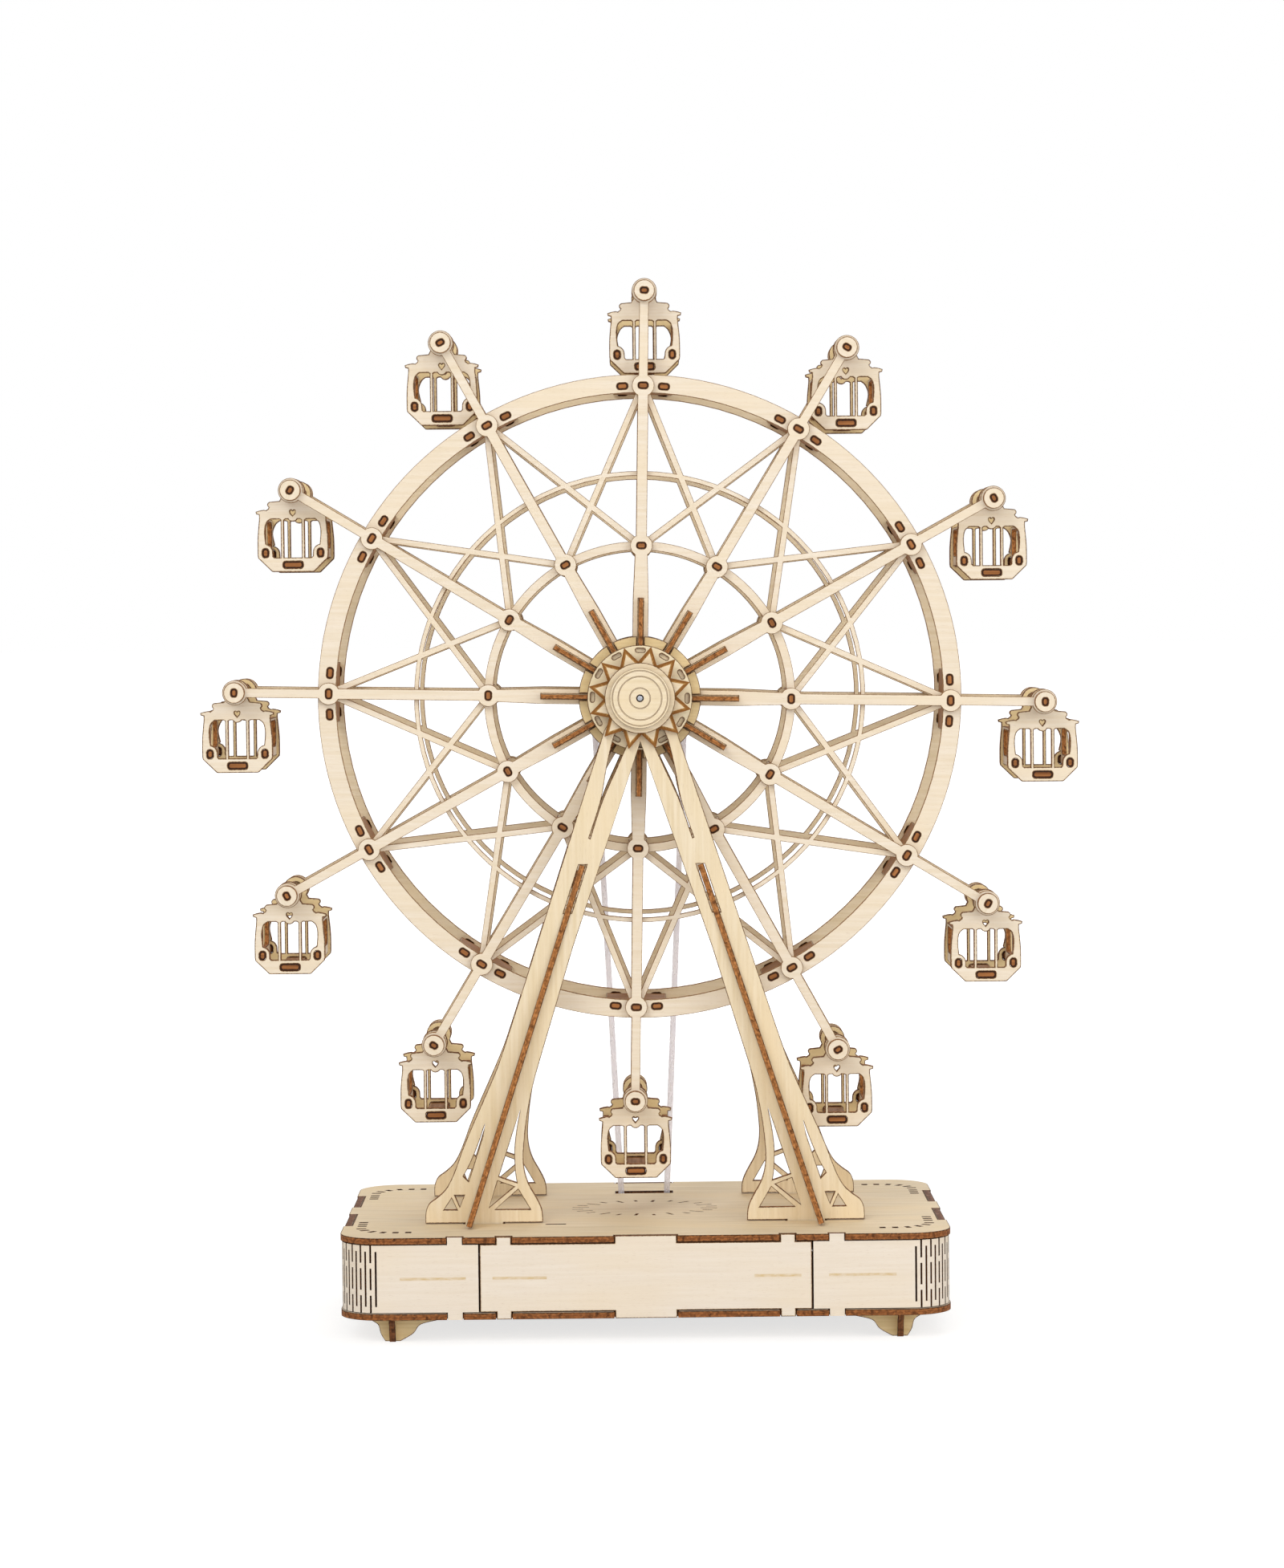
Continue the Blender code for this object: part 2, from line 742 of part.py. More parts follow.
def support_frame():
    """A-shaped support in the XZ plane, standing on the base, with tenons into the top plate."""
    outer, inner = leg_outline()
    hub = HUB_HEIGHT
    tenon_near = SUPPORT_TENON_X - SUPPORT_TENON / 2
    tenon_far = SUPPORT_TENON_X + SUPPORT_TENON / 2
    foot = [
        (outer[-1][0], GAP),
        (tenon_far, GAP),
        (tenon_far, -PLY),
        (tenon_near, -PLY),
        (tenon_near, GAP),
        (inner[0][0], GAP),
    ]
    right = outer + foot + inner
    boss = arc(BOSS_RADIUS, -125, 125, 16, (0.0, hub))
    apex = (0.0, hub - FORK_APEX)
    outline = boss + right + [apex] + mirrored(right)
    outlines = [outline, circle(AXLE_RADIUS + GAP, 12, (0.0, hub))]
    for opening in leg_cutouts():
        outlines.append(opening)
        outlines.append(mirrored(opening))
    return sheet(outlines, PLY)


def leg_rib():
    """Rib in the XY plane: X runs up the leg from its foot, Y stands off the support."""
    length = math.hypot(RIB_FOOT_X - RIB_TOP[0], RIB_TOP[1])
    slope = RIB_TOP[1] / length
    tenon_start = length - RIB_TENON / slope + GAP
    lift = 3 * GAP
    outline = [
        (lift, GAP),
        (tenon_start, GAP),
        (tenon_start, -PLY),
        (length - GAP, -PLY),
        (length - GAP, 0.0),
        (tenon_start, RIB_DEPTH_TOP),
        (lift, RIB_DEPTH_FOOT),
    ]
    return sheet([outline], PLY - GAP / 2)


def rib_place(side, face):
    """Stands a rib on the leg at one side, on the outer face of the front or rear support."""
    up = Vector((-side * (RIB_FOOT_X - RIB_TOP[0]), 0.0, RIB_TOP[1])).normalized()
    out = Vector((0.0, face, 0.0))
    across = up.cross(out)
    turn = Matrix((up, out, across)).transposed().to_4x4()
    return at(side * RIB_FOOT_X, face * (SUPPORT_Y + PLY / 2), BASE_TOP) @ turn


def star_plate():
    """Twelve-rayed star over the front bearing."""
    points = []
    for ray in range(STAR_RAYS):
        middle = 360 / STAR_RAYS * (ray + 0.5)
        points.append(polar(STAR_VALLEY, middle - 180 / STAR_RAYS))
        points.append(polar(STAR_RADIUS, middle))
    return sheet([points, circle(AXLE_RADIUS + GAP, 12)], PLY)


def washer(radius, steps, bore_steps=12):
    return sheet([circle(radius, steps), circle(AXLE_RADIUS + GAP, bore_steps)], PLY)


def lattice_line(arm):
    """Ends of the lattice bar from the rim at one arm to the inner ring at the next."""
    pitch = 360 / ARMS
    return (polar(RIM_RADIUS, arm * pitch), polar(INNER_RING_RADIUS, (arm + 1) * pitch))


def ring_cell(low, high, start, stop, outer_steps):
    """The part of a ring between two radii and two angles."""
    inner = arc(low, stop, start, RING_STEPS)
    return arc(high, start, stop, outer_steps) + inner


def web_openings():
    """Openings of one twelfth of the web, round the arm at the top and the gap after it."""
    half = LATTICE_WIDTH / 2
    pitch = 360 / ARMS
    rim_in = RIM_RADIUS - RIM_WIDTH / 2
    middle_out = MIDDLE_RING_RADIUS + MIDDLE_RING_WIDTH / 2
    middle_in = MIDDLE_RING_RADIUS - MIDDLE_RING_WIDTH / 2
    inner_out = INNER_RING_RADIUS + INNER_RING_WIDTH / 2
    out_start, out_end = lattice_line(0)
    back_start, back_end = mirrored_line(out_start, out_end)
    next_end, next_start = turned_outline([back_end, back_start], pitch)
    kite_side_end = (-next_end[0], next_end[1])
    kite_side_start = (-next_start[0], next_start[1])
    openings = []
    kite = ring_cell(middle_out, rim_in, -pitch / 2, pitch / 2, RIM_STEPS)
    kite = clipped(kite, out_start, out_end, half)
    openings.append(clipped(kite, back_end, back_start, half))
    kite = ring_cell(inner_out, middle_in, -pitch / 2, pitch / 2, RING_STEPS)
    kite = clipped(kite, out_start, out_end, half)
    kite = clipped(kite, back_end, back_start, half)
    kite = clipped(kite, next_start, next_end, half)
    openings.append(clipped(kite, kite_side_end, kite_side_start, half))
    gap_cell = ring_cell(middle_out, rim_in, 0, pitch, RIM_STEPS)
    gap_cell = clipped(gap_cell, out_end, out_start, half)
    openings.append(clipped(gap_cell, next_start, next_end, half))
    gap_cell = ring_cell(inner_out, middle_in, 0, pitch, RING_STEPS)
    gap_cell = clipped(gap_cell, out_end, out_start, half)
    openings.append(clipped(gap_cell, next_start, next_end, half))
    gap_cell = ring_cell(inner_out, middle_in, 0, pitch, RING_STEPS)
    gap_cell = clipped(gap_cell, out_start, out_end, half)
    openings.append(clipped(gap_cell, next_end, next_start, half))
    return openings


def mirrored_line(start, end):
    return ((-start[0], start[1]), (-end[0], end[1]))


def tenon_hole(radius, length):
    """Hole at a distance from the hub for a tenon that lies across the arm."""
    return rectangle(length / 2 + GAP, PLY / 2 + GAP, (0.0, radius))


def wheel_web(with_tenon_holes):
    """One face of the wheel: rim, lattice and inner rings cut from one sheet."""
    outlines = [circle(RIM_RADIUS + RIM_WIDTH / 2, ARMS * RIM_STEPS)]
    outlines.append(circle(INNER_RING_RADIUS - INNER_RING_WIDTH / 2, ARMS * RING_STEPS))
    cells = web_openings()
    if with_tenon_holes:
        cells.append(tenon_hole(RIM_RADIUS, TENON_LONG))
        cells.append(tenon_hole(INNER_RING_RADIUS, TENON_SHORT))
    for arm in range(ARMS):
        for cell in cells:
            outlines.append(turned_outline(cell, 360 / ARMS * arm))
    return sheet(outlines, PLY)


def spoke_side():
    """Right edge of the top spoke, from its pivot down to the hub."""
    tip = SPOKE_TIP_WIDTH / 2
    middle = SPOKE_MIDDLE_WIDTH / 2
    points = arc(TIP_RADIUS, 0, 135, 3 * NODE_STEPS, (0.0, PIVOT_RADIUS))
    for radius, above, below in ((RIM_RADIUS, tip, middle), (INNER_RING_RADIUS, middle, middle)):
        rise = math.degrees(math.asin(above / NODE_RADIUS))
        fall = math.degrees(math.asin(below / NODE_RADIUS))
        points += arc(NODE_RADIUS, rise, 180 - fall, 2 * NODE_STEPS, (0.0, radius))
    points.append((SPOKE_HUB_WIDTH / 2, FIN_OUTER))
    return points


def spokes():
    """Twelve spokes that meet round the axle, with holes for the bars and the fins."""
    right = spoke_side()
    arm_outline = mirrored(right)[:-1] + right
    valley = SPOKE_HUB_WIDTH / 2 / math.sin(math.radians(180 / ARMS))
    pitch = 360 / ARMS
    outline = []
    outlines = [outline, circle(AXLE_RADIUS + GAP / 2, 12)]
    holes = [
        tenon_hole(RIM_RADIUS, TENON_LONG),
        tenon_hole(INNER_RING_RADIUS, TENON_SHORT),
        fin_slot(),
    ]
    for arm in range(ARMS):
        outline += turned_outline(arm_outline, pitch * arm)
        outline.append(polar(valley, pitch * (arm + 0.5)))
        for points in holes:
            outlines.append(turned_outline(points, pitch * arm))
    return outlines


def front_spokes():
    """Front spokes with a hole at each arm's end for the pivot rod."""
    outlines = spokes()
    hole = rectangle(ROD_LONG / 2 + GAP, ROD_SHORT / 2 + GAP, (0.0, PIVOT_RADIUS))
    for arm in range(ARMS):
        outlines.append(turned_outline(hole, 360 / ARMS * arm))
    arms = sheet(outlines, PLY)
    arms.transform(at(0, -SPOKE_Y, 0) @ STAND)
    return arms


def rear_spokes():
    """Rear spokes joined to the wooden rods that the cabins hang from."""
    arms = sheet(spokes(), PLY)
    arms.transform(at(0, SPOKE_Y, 0) @ STAND)
    reach = SPOKE_OUTSIDE + GAP + PLY
    low = (-ROD_LONG / 2, -reach, -ROD_SHORT / 2)
    high = (ROD_LONG / 2, reach, ROD_SHORT / 2)
    rod_block = block(low, high)
    places = [about_hub(arm) @ at(0, 0, PIVOT_RADIUS) for arm in range(ARMS)]
    return united(arms, [(rod_block, place) for place in places])


def fin_slot():
    middle = (FIN_INNER + FIN_OUTER) / 2
    half = (FIN_OUTER - FIN_INNER) / 2
    return rectangle(PLY / 2 + GAP, half + GAP, (0.0, middle))


def hub_disc():
    """Front disc over the spokes, slotted from its edge for the fins."""
    half = PLY / 2 + GAP
    edge = math.degrees(math.asin(half / HUB_DISC_RADIUS))
    pitch = 360 / ARMS
    points = []
    for arm in range(ARMS):
        start = arm * pitch
        slot = [(-half, FIN_INNER - GAP), (half, FIN_INNER - GAP)]
        points += turned_outline(slot, start)
        points += arc(HUB_DISC_RADIUS, start + edge, start + pitch - edge, 2)
    return sheet([points, circle(AXLE_RADIUS + GAP / 2, 12)], PLY)


def fin_core():
    """Rear hub disc joined to the twelve fins that run through the hub."""
    disc = sheet([circle(HUB_DISC_RADIUS, 24), circle(AXLE_RADIUS + GAP / 2, 12)], PLY)
    disc.transform(at(0, HUB_DISC_Y, 0) @ STAND)
    fin = hub_fin()
    return united(disc, [(fin, about_hub(arm) @ EDGE_ON) for arm in range(ARMS)])


def slotted_disc():
    """Disc over the fins' ends, with a hole for each fin's tab."""
    outlines = [circle(SLOTTED_DISC_RADIUS, 24), circle(AXLE_RADIUS + GAP / 2, 12)]
    tab = rectangle(PLY / 2 + GAP, FIN_TAB / 2 + GAP, (0.0, FIN_INNER + FIN_TAB / 2))
    for arm in range(ARMS):
        outlines.append(turned_outline(tab, 360 / ARMS * arm))
    return sheet(outlines, PLY)


def hub_fin():
    """Fin through the hub, from the front disc to the rear one, with X as the radius."""
    face = FIN_FRONT
    tip = SLOTTED_DISC_Y + PLY / 2
    tab_end = FIN_INNER + FIN_TAB
    right = [
        (FIN_INNER, tip),
        (tab_end, tip),
        (tab_end, face),
        (FIN_OUTER, face),
    ]
    back = [(x, -y) for x, y in reversed(right)]
    return sheet([right + back], PLY)


def cross_piece(half, tenon):
    """Plate between the two webs, let into the rear one: X runs across the arm, Y along the axle."""
    shoulder = -WEB_INSIDE + GAP
    points = [(-half, WEB_Y), (-half, shoulder), (-tenon, shoulder), (-tenon, -SPOKE_OUTSIDE)]
    points += [(tenon, -SPOKE_OUTSIDE), (tenon, shoulder), (half, shoulder), (half, WEB_Y)]
    points += [(tenon, WEB_Y), (tenon, SPOKE_OUTSIDE), (-tenon, SPOKE_OUTSIDE), (-tenon, WEB_Y)]
    return sheet([points], PLY)


def rear_web():
    """Rear web joined to the cross plates and bars that reach to the front one."""
    web = wheel_web(False)
    web.transform(at(0, WEB_Y, 0) @ STAND)
    plate = cross_piece(CROSS_PLATE_LENGTH / 2, TENON_LONG / 2)
    bar = cross_piece(INNER_BAR_WIDTH / 2, TENON_SHORT / 2)
    placed = []
    for arm in range(ARMS):
        placed.append((plate, about_hub(arm) @ at(0, 0, RIM_RADIUS)))
        placed.append((bar, about_hub(arm) @ at(0, 0, INNER_RING_RADIUS)))
    return united(web, placed)


def pulley(belt_radius, bore):
    """Grooved pulley turned about Z, its groove in the middle."""
    core = belt_radius - BELT_DIAMETER / 2 - GAP
    rim = belt_radius + PULLEY_RIM
    half = PLY / 2
    side = half + PULLEY_FLANGE
    profile = [(rim, side), (rim, half), (core, half), (core, -half), (rim, -half), (rim, -side)]
    profile += [(bore, -side), (bore, side)]
    return turned(profile, 18)


def belt_loop():
    """Round belt on both pulleys, drawn as a closed tube in the XZ plane."""
    top = Vector((0.0, HUB_Z))
    low = Vector((0.0, DRIVE_AXIS_Z))
    span = top.y - low.y
    lean = math.degrees(math.asin((BELT_WHEEL_RADIUS - BELT_DRIVE_RADIUS) / span))
    route = arc(BELT_WHEEL_RADIUS, -90 - lean, 90 + lean, 14, top)
    route += arc(BELT_DRIVE_RADIUS, 90 + lean, 270 - lean, 8, low)
    curve = bpy.data.curves.new("belt", "CURVE")
    curve.dimensions = "3D"
    curve.bevel_depth = BELT_DIAMETER / 2 * ENLARGED
    curve.bevel_resolution = 1
    spline = curve.splines.new("POLY")
    spline.points.add(len(route) - 1)
    for point, (x, z) in zip(spline.points, route):
        point.co = (x * ENLARGED, 0, z * ENLARGED, 1)
    spline.use_cyclic_u = True
    return evaluated_mesh(bpy.data.objects.new("belt", curve))


def cabin_plate():
    """Front or rear plate of a cabin in the XZ plane, hanging from its pivot at the origin."""
    ear = arc(EAR_RADIUS, 0, 120, 2)
    side = [
        (CABIN_TIER[0], -CABIN_TIER[1]),
        (CABIN_TIER[0], -CABIN_BRIM[1] + GAP),
        (CABIN_BRIM[0], -CABIN_BRIM[1]),
        (CABIN_BODY_TOP[0], -CABIN_BODY_TOP[1]),
        (CABIN_BODY_LOW[0], -CABIN_BODY_LOW[1]),
        (CABIN_BOTTOM[0], -CABIN_BOTTOM[1]),
    ]
    right = ear + side
    outline = right + mirrored(right)[:-1]
    half, top, low = CABIN_WINDOW
    window_right = [(half, -top), (half - WINDOW_TAPER, -low)]
    window = window_right + mirrored(window_right)
    return sheet([outline, circle(PIVOT_HOLE, 8), window], PLY)


def cabin_side():
    """Side wall of a cabin, in the XZ plane, let into both plates."""
    top_x = CABIN_BODY_TOP[0] - GAP
    low_x = CABIN_BODY_LOW[0] - GAP
    top_z = -CABIN_BODY_TOP[1] - 2 * GAP
    low_z = -CABIN_BODY_LOW[1] + 2 * GAP
    points = [(top_x, top_z), (low_x, low_z), (low_x - CABIN_WALL, low_z), (top_x - CABIN_WALL, top_z)]
    return sheet([points], CABIN_DEPTH - PLY)


def cabin():
    """A whole cabin: front and rear plates joined by side walls and a floor."""
    plate_y = CABIN_FACE_Y - PLY / 2
    front = cabin_plate()
    rear = front.copy()
    front.transform(at(0, -plate_y, 0) @ STAND)
    side = cabin_side()
    half_turn = Matrix.Rotation(math.radians(180), 4, "Z")
    half = CABIN_BOTTOM[0]
    floor_low = -CABIN_SLOT_DROP - PLY / 2
    floor = block((-half, -plate_y, floor_low), (half, plate_y, floor_low + PLY))
    walls = [(side, STAND), (side, half_turn @ STAND), (floor, Matrix())]
    tub = united(front, walls)
    return united(tub, [(rear, at(0, plate_y, 0) @ STAND)])


def add_base(parts):
    bottom = at(0, 0, FOOT_HEIGHT + PLY / 2)
    top = at(0, 0, TOP_UNDER + PLY / 2)
    wall_y = BASE_DEPTH / 2 - WALL_INSET - PLY / 2
    flat_panel = panel()
    add_piece(parts, "base_bottom_plate", bottom_plate(), bottom, PLYWOOD)
    add_piece(parts, "base_top_plate", top_plate(), top, WARM_PLYWOOD)
    add_piece(parts, "front_panel", flat_panel, at(0, -wall_y, 0) @ STAND, PLYWOOD)
    add_piece(parts, "back_panel", flat_panel, at(0, wall_y, 0) @ STAND, PLYWOOD)
    wall = side_wall()
    half_turn = Matrix.Rotation(math.radians(180), 4, "Z")
    add_piece(parts, "right_side_wall", wall, Matrix(), PLYWOOD)
    add_piece(parts, "left_side_wall", wall, half_turn, PLYWOOD)
    shape = foot()
    for x, y, inward in foot_places():
        way = Matrix() if inward > 0 else half_turn
        name = ("left" if x < 0 else "right") + ("_front" if y < 0 else "_rear") + "_foot"
        add_piece(parts, name, shape, at(x, y, 0) @ way, WARM_PLYWOOD)


def add_supports(parts):
    frame = support_frame()
    rib = leg_rib()
    for name, face in (("front", -1), ("rear", 1)):
        place = at(0, face * SUPPORT_Y, BASE_TOP) @ STAND
        add_piece(parts, name + "_support_frame", frame, place, WARM_PLYWOOD)
        for side_name, side in (("left", -1), ("right", 1)):
            rib_name = name + "_" + side_name + "_leg_rib"
            add_piece(parts, rib_name, rib, rib_place(side, face), CUT_PLYWOOD)
    hub = at(0, 0, HUB_Z)
    star_y = -(SUPPORT_Y + PLY + GAP)
    step = PLY + GAP
    cap = washer(CAP_RADIUS, 32)
    cap_step = washer(CAP_STEP_RADIUS, 32)
    bearing = washer(BEARING_RADIUS, 24)
    add_piece(parts, "front_star_plate", star_plate(), hub @ at(0, star_y, 0) @ STAND, PLYWOOD)
    add_piece(parts, "front_cap_disc", cap, hub @ at(0, star_y - step, 0) @ STAND, PLYWOOD)
    add_piece(parts, "front_cap_step", cap_step, hub @ at(0, star_y - 2 * step, 0) @ STAND, PLYWOOD)
    add_piece(parts, "rear_bearing_disc", bearing, hub @ at(0, BEARING_Y, 0) @ STAND, PLYWOOD)


def add_wheel(parts):
    axis = add_axis(parts, "wheel_axis", (0, 0, HUB_Z), WHEEL_PHASE)
    slotted = slotted_disc()
    front_disc = at(0, -HUB_DISC_Y, 0) @ STAND
    front_slotted = at(0, -SLOTTED_DISC_Y, 0) @ STAND
    rear_slotted = at(0, SLOTTED_DISC_Y, 0) @ STAND
    front_end = SUPPORT_Y + 3 * (PLY + GAP) + PLY / 2
    back_end = BELT_Y + PLY / 2 + PULLEY_FLANGE + PLY / 2
    axle = rod(AXLE_RADIUS, -back_end, front_end, 16)
    belt_pulley = pulley(BELT_WHEEL_RADIUS, AXLE_RADIUS + GAP / 2)
    front_web = at(0, -WEB_Y, 0) @ STAND
    add_piece(parts, "front_wheel_web", wheel_web(True), front_web, PLYWOOD, axis)
    add_piece(parts, "rear_wheel_web", rear_web(), Matrix(), PLYWOOD, axis)
    add_piece(parts, "front_spokes", front_spokes(), Matrix(), PLYWOOD, axis)
    add_piece(parts, "rear_spokes", rear_spokes(), Matrix(), PLYWOOD, axis)
    add_piece(parts, "front_hub_disc", hub_disc(), front_disc, WARM_PLYWOOD, axis)
    add_piece(parts, "rear_hub_disc", fin_core(), Matrix(), WARM_PLYWOOD, axis)
    add_piece(parts, "front_slotted_disc", slotted, front_slotted, PLYWOOD, axis)
    add_piece(parts, "rear_slotted_disc", slotted, rear_slotted, PLYWOOD, axis)
    add_piece(parts, "wheel_axle", axle, STAND, STEEL, axis)
    add_piece(parts, "wheel_pulley", belt_pulley, at(0, BELT_Y, 0) @ STAND, PLYWOOD, axis)


def add_cabins(parts):
    shape = cabin()
    for arm in range(ARMS):
        x, z = polar(PIVOT_RADIUS, WHEEL_PHASE + 360 / ARMS * arm)
        number = format(arm + 1, "02d")
        axis = add_axis(parts, "cabin_axis_" + number, (x, 0, HUB_Z + z))
        add_piece(parts, "cabin_" + number, shape, Matrix(), PLYWOOD, axis)


def add_belt(parts):
    add_piece(parts, "drive_belt", belt_loop(), at(0, BELT_Y, 0), CLEAR_BELT)


def shaft_bracket():
    """Wooden bracket that carries the pulley shaft, tenoned into the bottom plate."""
    low = BOTTOM_TOP + GAP
    high = DRIVE_AXIS_Z + BRACKET_RISE
    half = BRACKET_HALF
    tenon = BRACKET_TENON / 2
    outline = [
        (-half, low),
        (-tenon, low),
        (-tenon, FOOT_HEIGHT),
        (tenon, FOOT_HEIGHT),
        (tenon, low),
        (half, low),
        (half / 2, high),
        (-half / 2, high),
    ]
    return sheet([outline, circle(SHAFT_RADIUS + GAP, 12, (0.0, DRIVE_AXIS_Z))], PLY)


def comb_screw_places():
    """Where the comb's screws stand."""
    middle = (COMB_BACK_Y + COMB_ROOT_Y) / 2
    return ((-COMB_SCREW_X, middle), (COMB_SCREW_X, middle))


def movement_comb():
    """Comb plate: a back strip with thin teeth that point at the cylinder."""
    tip_y = CYLINDER_Y - CYLINDER_RADIUS - PIN_CLEARANCE
    span = COMB_PITCH * (COMB_TEETH - 1)
    edge = span / 2 + COMB_PITCH / 2
    points = [(edge, COMB_BACK_Y), (edge, COMB_ROOT_Y)]
    for tooth in reversed(range(COMB_TEETH)):
        middle = -span / 2 + COMB_PITCH * tooth
        half = COMB_TOOTH / 2
        points += [(middle + half, COMB_ROOT_Y), (middle + half, tip_y)]
        points += [(middle - half, tip_y), (middle - half, COMB_ROOT_Y)]
    points += [(-edge, COMB_ROOT_Y), (-edge, COMB_BACK_Y)]
    holes = [circle(COMB_SCREW_SHANK + GAP, 8, place) for place in comb_screw_places()]
    return sheet([points] + holes, COMB_THICK)


def movement_bedplate():
    """Bedplate with the comb's riser and the cylinder's two bearing ears joined to it."""
    low = BOTTOM_TOP + GAP
    half = BEDPLATE_HALF
    corners = [
        (-half, BEDPLATE_FRONT),
        (half, BEDPLATE_FRONT),
        (half, BEDPLATE_BACK),
        (-half, BEDPLATE_BACK),
    ]
    bed = sheet([corners, circle(SHAFT_RADIUS + GAP, 12, (0.0, BARREL_Y))], BEDPLATE_THICK)
    bed.transform(at(0, 0, low + BEDPLATE_THICK / 2))
    root = BEDPLATE_TOP - BEDPLATE_THICK / 2
    riser_half = COMB_PITCH * COMB_TEETH / 2
    riser_top = CYLINDER_Z - COMB_THICK / 2 - GAP
    riser = block((-riser_half, COMB_BACK_Y, root), (riser_half, COMB_ROOT_Y, riser_top))
    ear_outline = [
        (-EAR_FOOT, root),
        (EAR_FOOT, root),
        (EAR_TOP, CYLINDER_Z + EAR_RISE),
        (-EAR_TOP, CYLINDER_Z + EAR_RISE),
    ]
    ear = sheet([ear_outline, circle(SHAFT_RADIUS + GAP, 12, (0.0, CYLINDER_Z))], EAR_THICK)
    quarter = Matrix.Rotation(math.radians(90), 4, "Z")
    ear_x = CYLINDER_LENGTH / 2 + GAP + EAR_THICK / 2
    placed = [(riser, Matrix())]
    for side in (-1, 1):
        placed.append((ear, at(side * ear_x, CYLINDER_Y, 0) @ quarter @ STAND))
    return united(bed, placed)


def governor_bracket():
    """Post and arm over the governor, in the XZ plane."""
    foot_z = BEDPLATE_TOP + GAP
    back = GOVERNOR_X - FLY_RADIUS - GAP
    tip = GOVERNOR_X + GOVERNOR_ARM
    top = GOVERNOR_TOP + GOVERNOR_ARM
    outline = [
        (back - GOVERNOR_ARM, foot_z),
        (back, foot_z),
        (back, GOVERNOR_TOP),
        (tip, GOVERNOR_TOP),
        (tip, top),
        (back - GOVERNOR_ARM, top),
    ]
    return sheet([outline], GOVERNOR_WIDTH)


def comb_screw():
    """Screw with its head on the comb and its shank in the comb's hole."""
    comb_top = CYLINDER_Z + COMB_THICK / 2
    head = rod(SCREW_HEAD, comb_top + GAP, comb_top + GAP + SCREW_HEAD_HEIGHT, 12)
    shank = rod(COMB_SCREW_SHANK, comb_top - COMB_THICK, comb_top + GAP + SCREW_HEAD_HEIGHT / 2, 8)
    return united(head, [(shank, Matrix())])


def add_movement(parts):
    add_piece(parts, "movement_bedplate", movement_bedplate(), Matrix(), BRASS)
    add_piece(parts, "movement_comb", movement_comb(), at(0, 0, CYLINDER_Z), STEEL)
    screw = comb_screw()
    for side_name, (x, y) in zip(("left", "right"), comb_screw_places()):
        add_piece(parts, side_name + "_comb_screw", screw, at(x, y, 0), STEEL)
    near, far = shaft_bracket_places()
    holder = shaft_bracket()
    add_piece(parts, "front_shaft_bracket", holder, at(0, near, 0) @ STAND, WARM_PLYWOOD)
    add_piece(parts, "rear_shaft_bracket", holder, at(0, far, 0) @ STAND, WARM_PLYWOOD)
    cock_place = at(0, GOVERNOR_Y, 0) @ STAND
    add_piece(parts, "governor_bracket", governor_bracket(), cock_place, BRASS)


def add_spring_drive(parts):
    """The winding shaft with its key, spring barrel and friction disc."""
    axis = add_axis(parts, "spring_axis", (0, BARREL_Y, 0))
    bore = SHAFT_RADIUS + GAP / 2
    shaft_top = FRICTION_DISC_Z + PLY / 2 + GAP
    key_top = KEY_CLEARANCE + KEY_HEIGHT
    shaft = rod(SHAFT_RADIUS, key_top + GAP / 2, shaft_top, 16)
    half_key = KEY_SPAN / 2
    wings = block((-half_key, -PLY / 2, KEY_CLEARANCE), (half_key, PLY / 2, key_top))
    low = BEDPLATE_TOP + GAP
    profile = [(BARREL_RADIUS, BARREL_TOP), (BARREL_RADIUS, low), (bore, low), (bore, BARREL_TOP)]
    disc = sheet([circle(FRICTION_DISC_RADIUS, 32), circle(bore, 12)], PLY)
    add_piece(parts, "winding_shaft", shaft, Matrix(), STEEL, axis)
    add_piece(parts, "winding_key", wings, Matrix(), BRASS, axis)
    add_piece(parts, "spring_barrel", turned(profile, 24), Matrix(), BRASS, axis)
    add_piece(parts, "friction_disc", disc, at(0, 0, FRICTION_DISC_Z), WARM_PLYWOOD, axis)


def add_pulley_drive(parts):
    """The shaft that takes the friction disc's turning to the belt."""
    axis = add_axis(parts, "pulley_axis", (0, 0, DRIVE_AXIS_Z))
    far = shaft_bracket_places()[1]
    bore = SHAFT_RADIUS + GAP / 2
    start = ROLLER_Y - ROLLER_WIDTH / 2 - GAP
    stop = far + PLY / 2 + GAP
    shaft = rod(SHAFT_RADIUS, -stop, -start, 16)
    half = ROLLER_WIDTH / 2
    roller = turned([(ROLLER_RADIUS, half), (ROLLER_RADIUS, -half), (bore, -half), (bore, half)], 20)
    grooved = pulley(BELT_DRIVE_RADIUS, bore)
    add_piece(parts, "pulley_shaft", shaft, STAND, STEEL, axis)
    add_piece(parts, "friction_roller", roller, at(0, ROLLER_Y, 0) @ STAND, RUBBER, axis)
    add_piece(parts, "drive_pulley", grooved, at(0, BELT_Y, 0) @ STAND, PLYWOOD, axis)


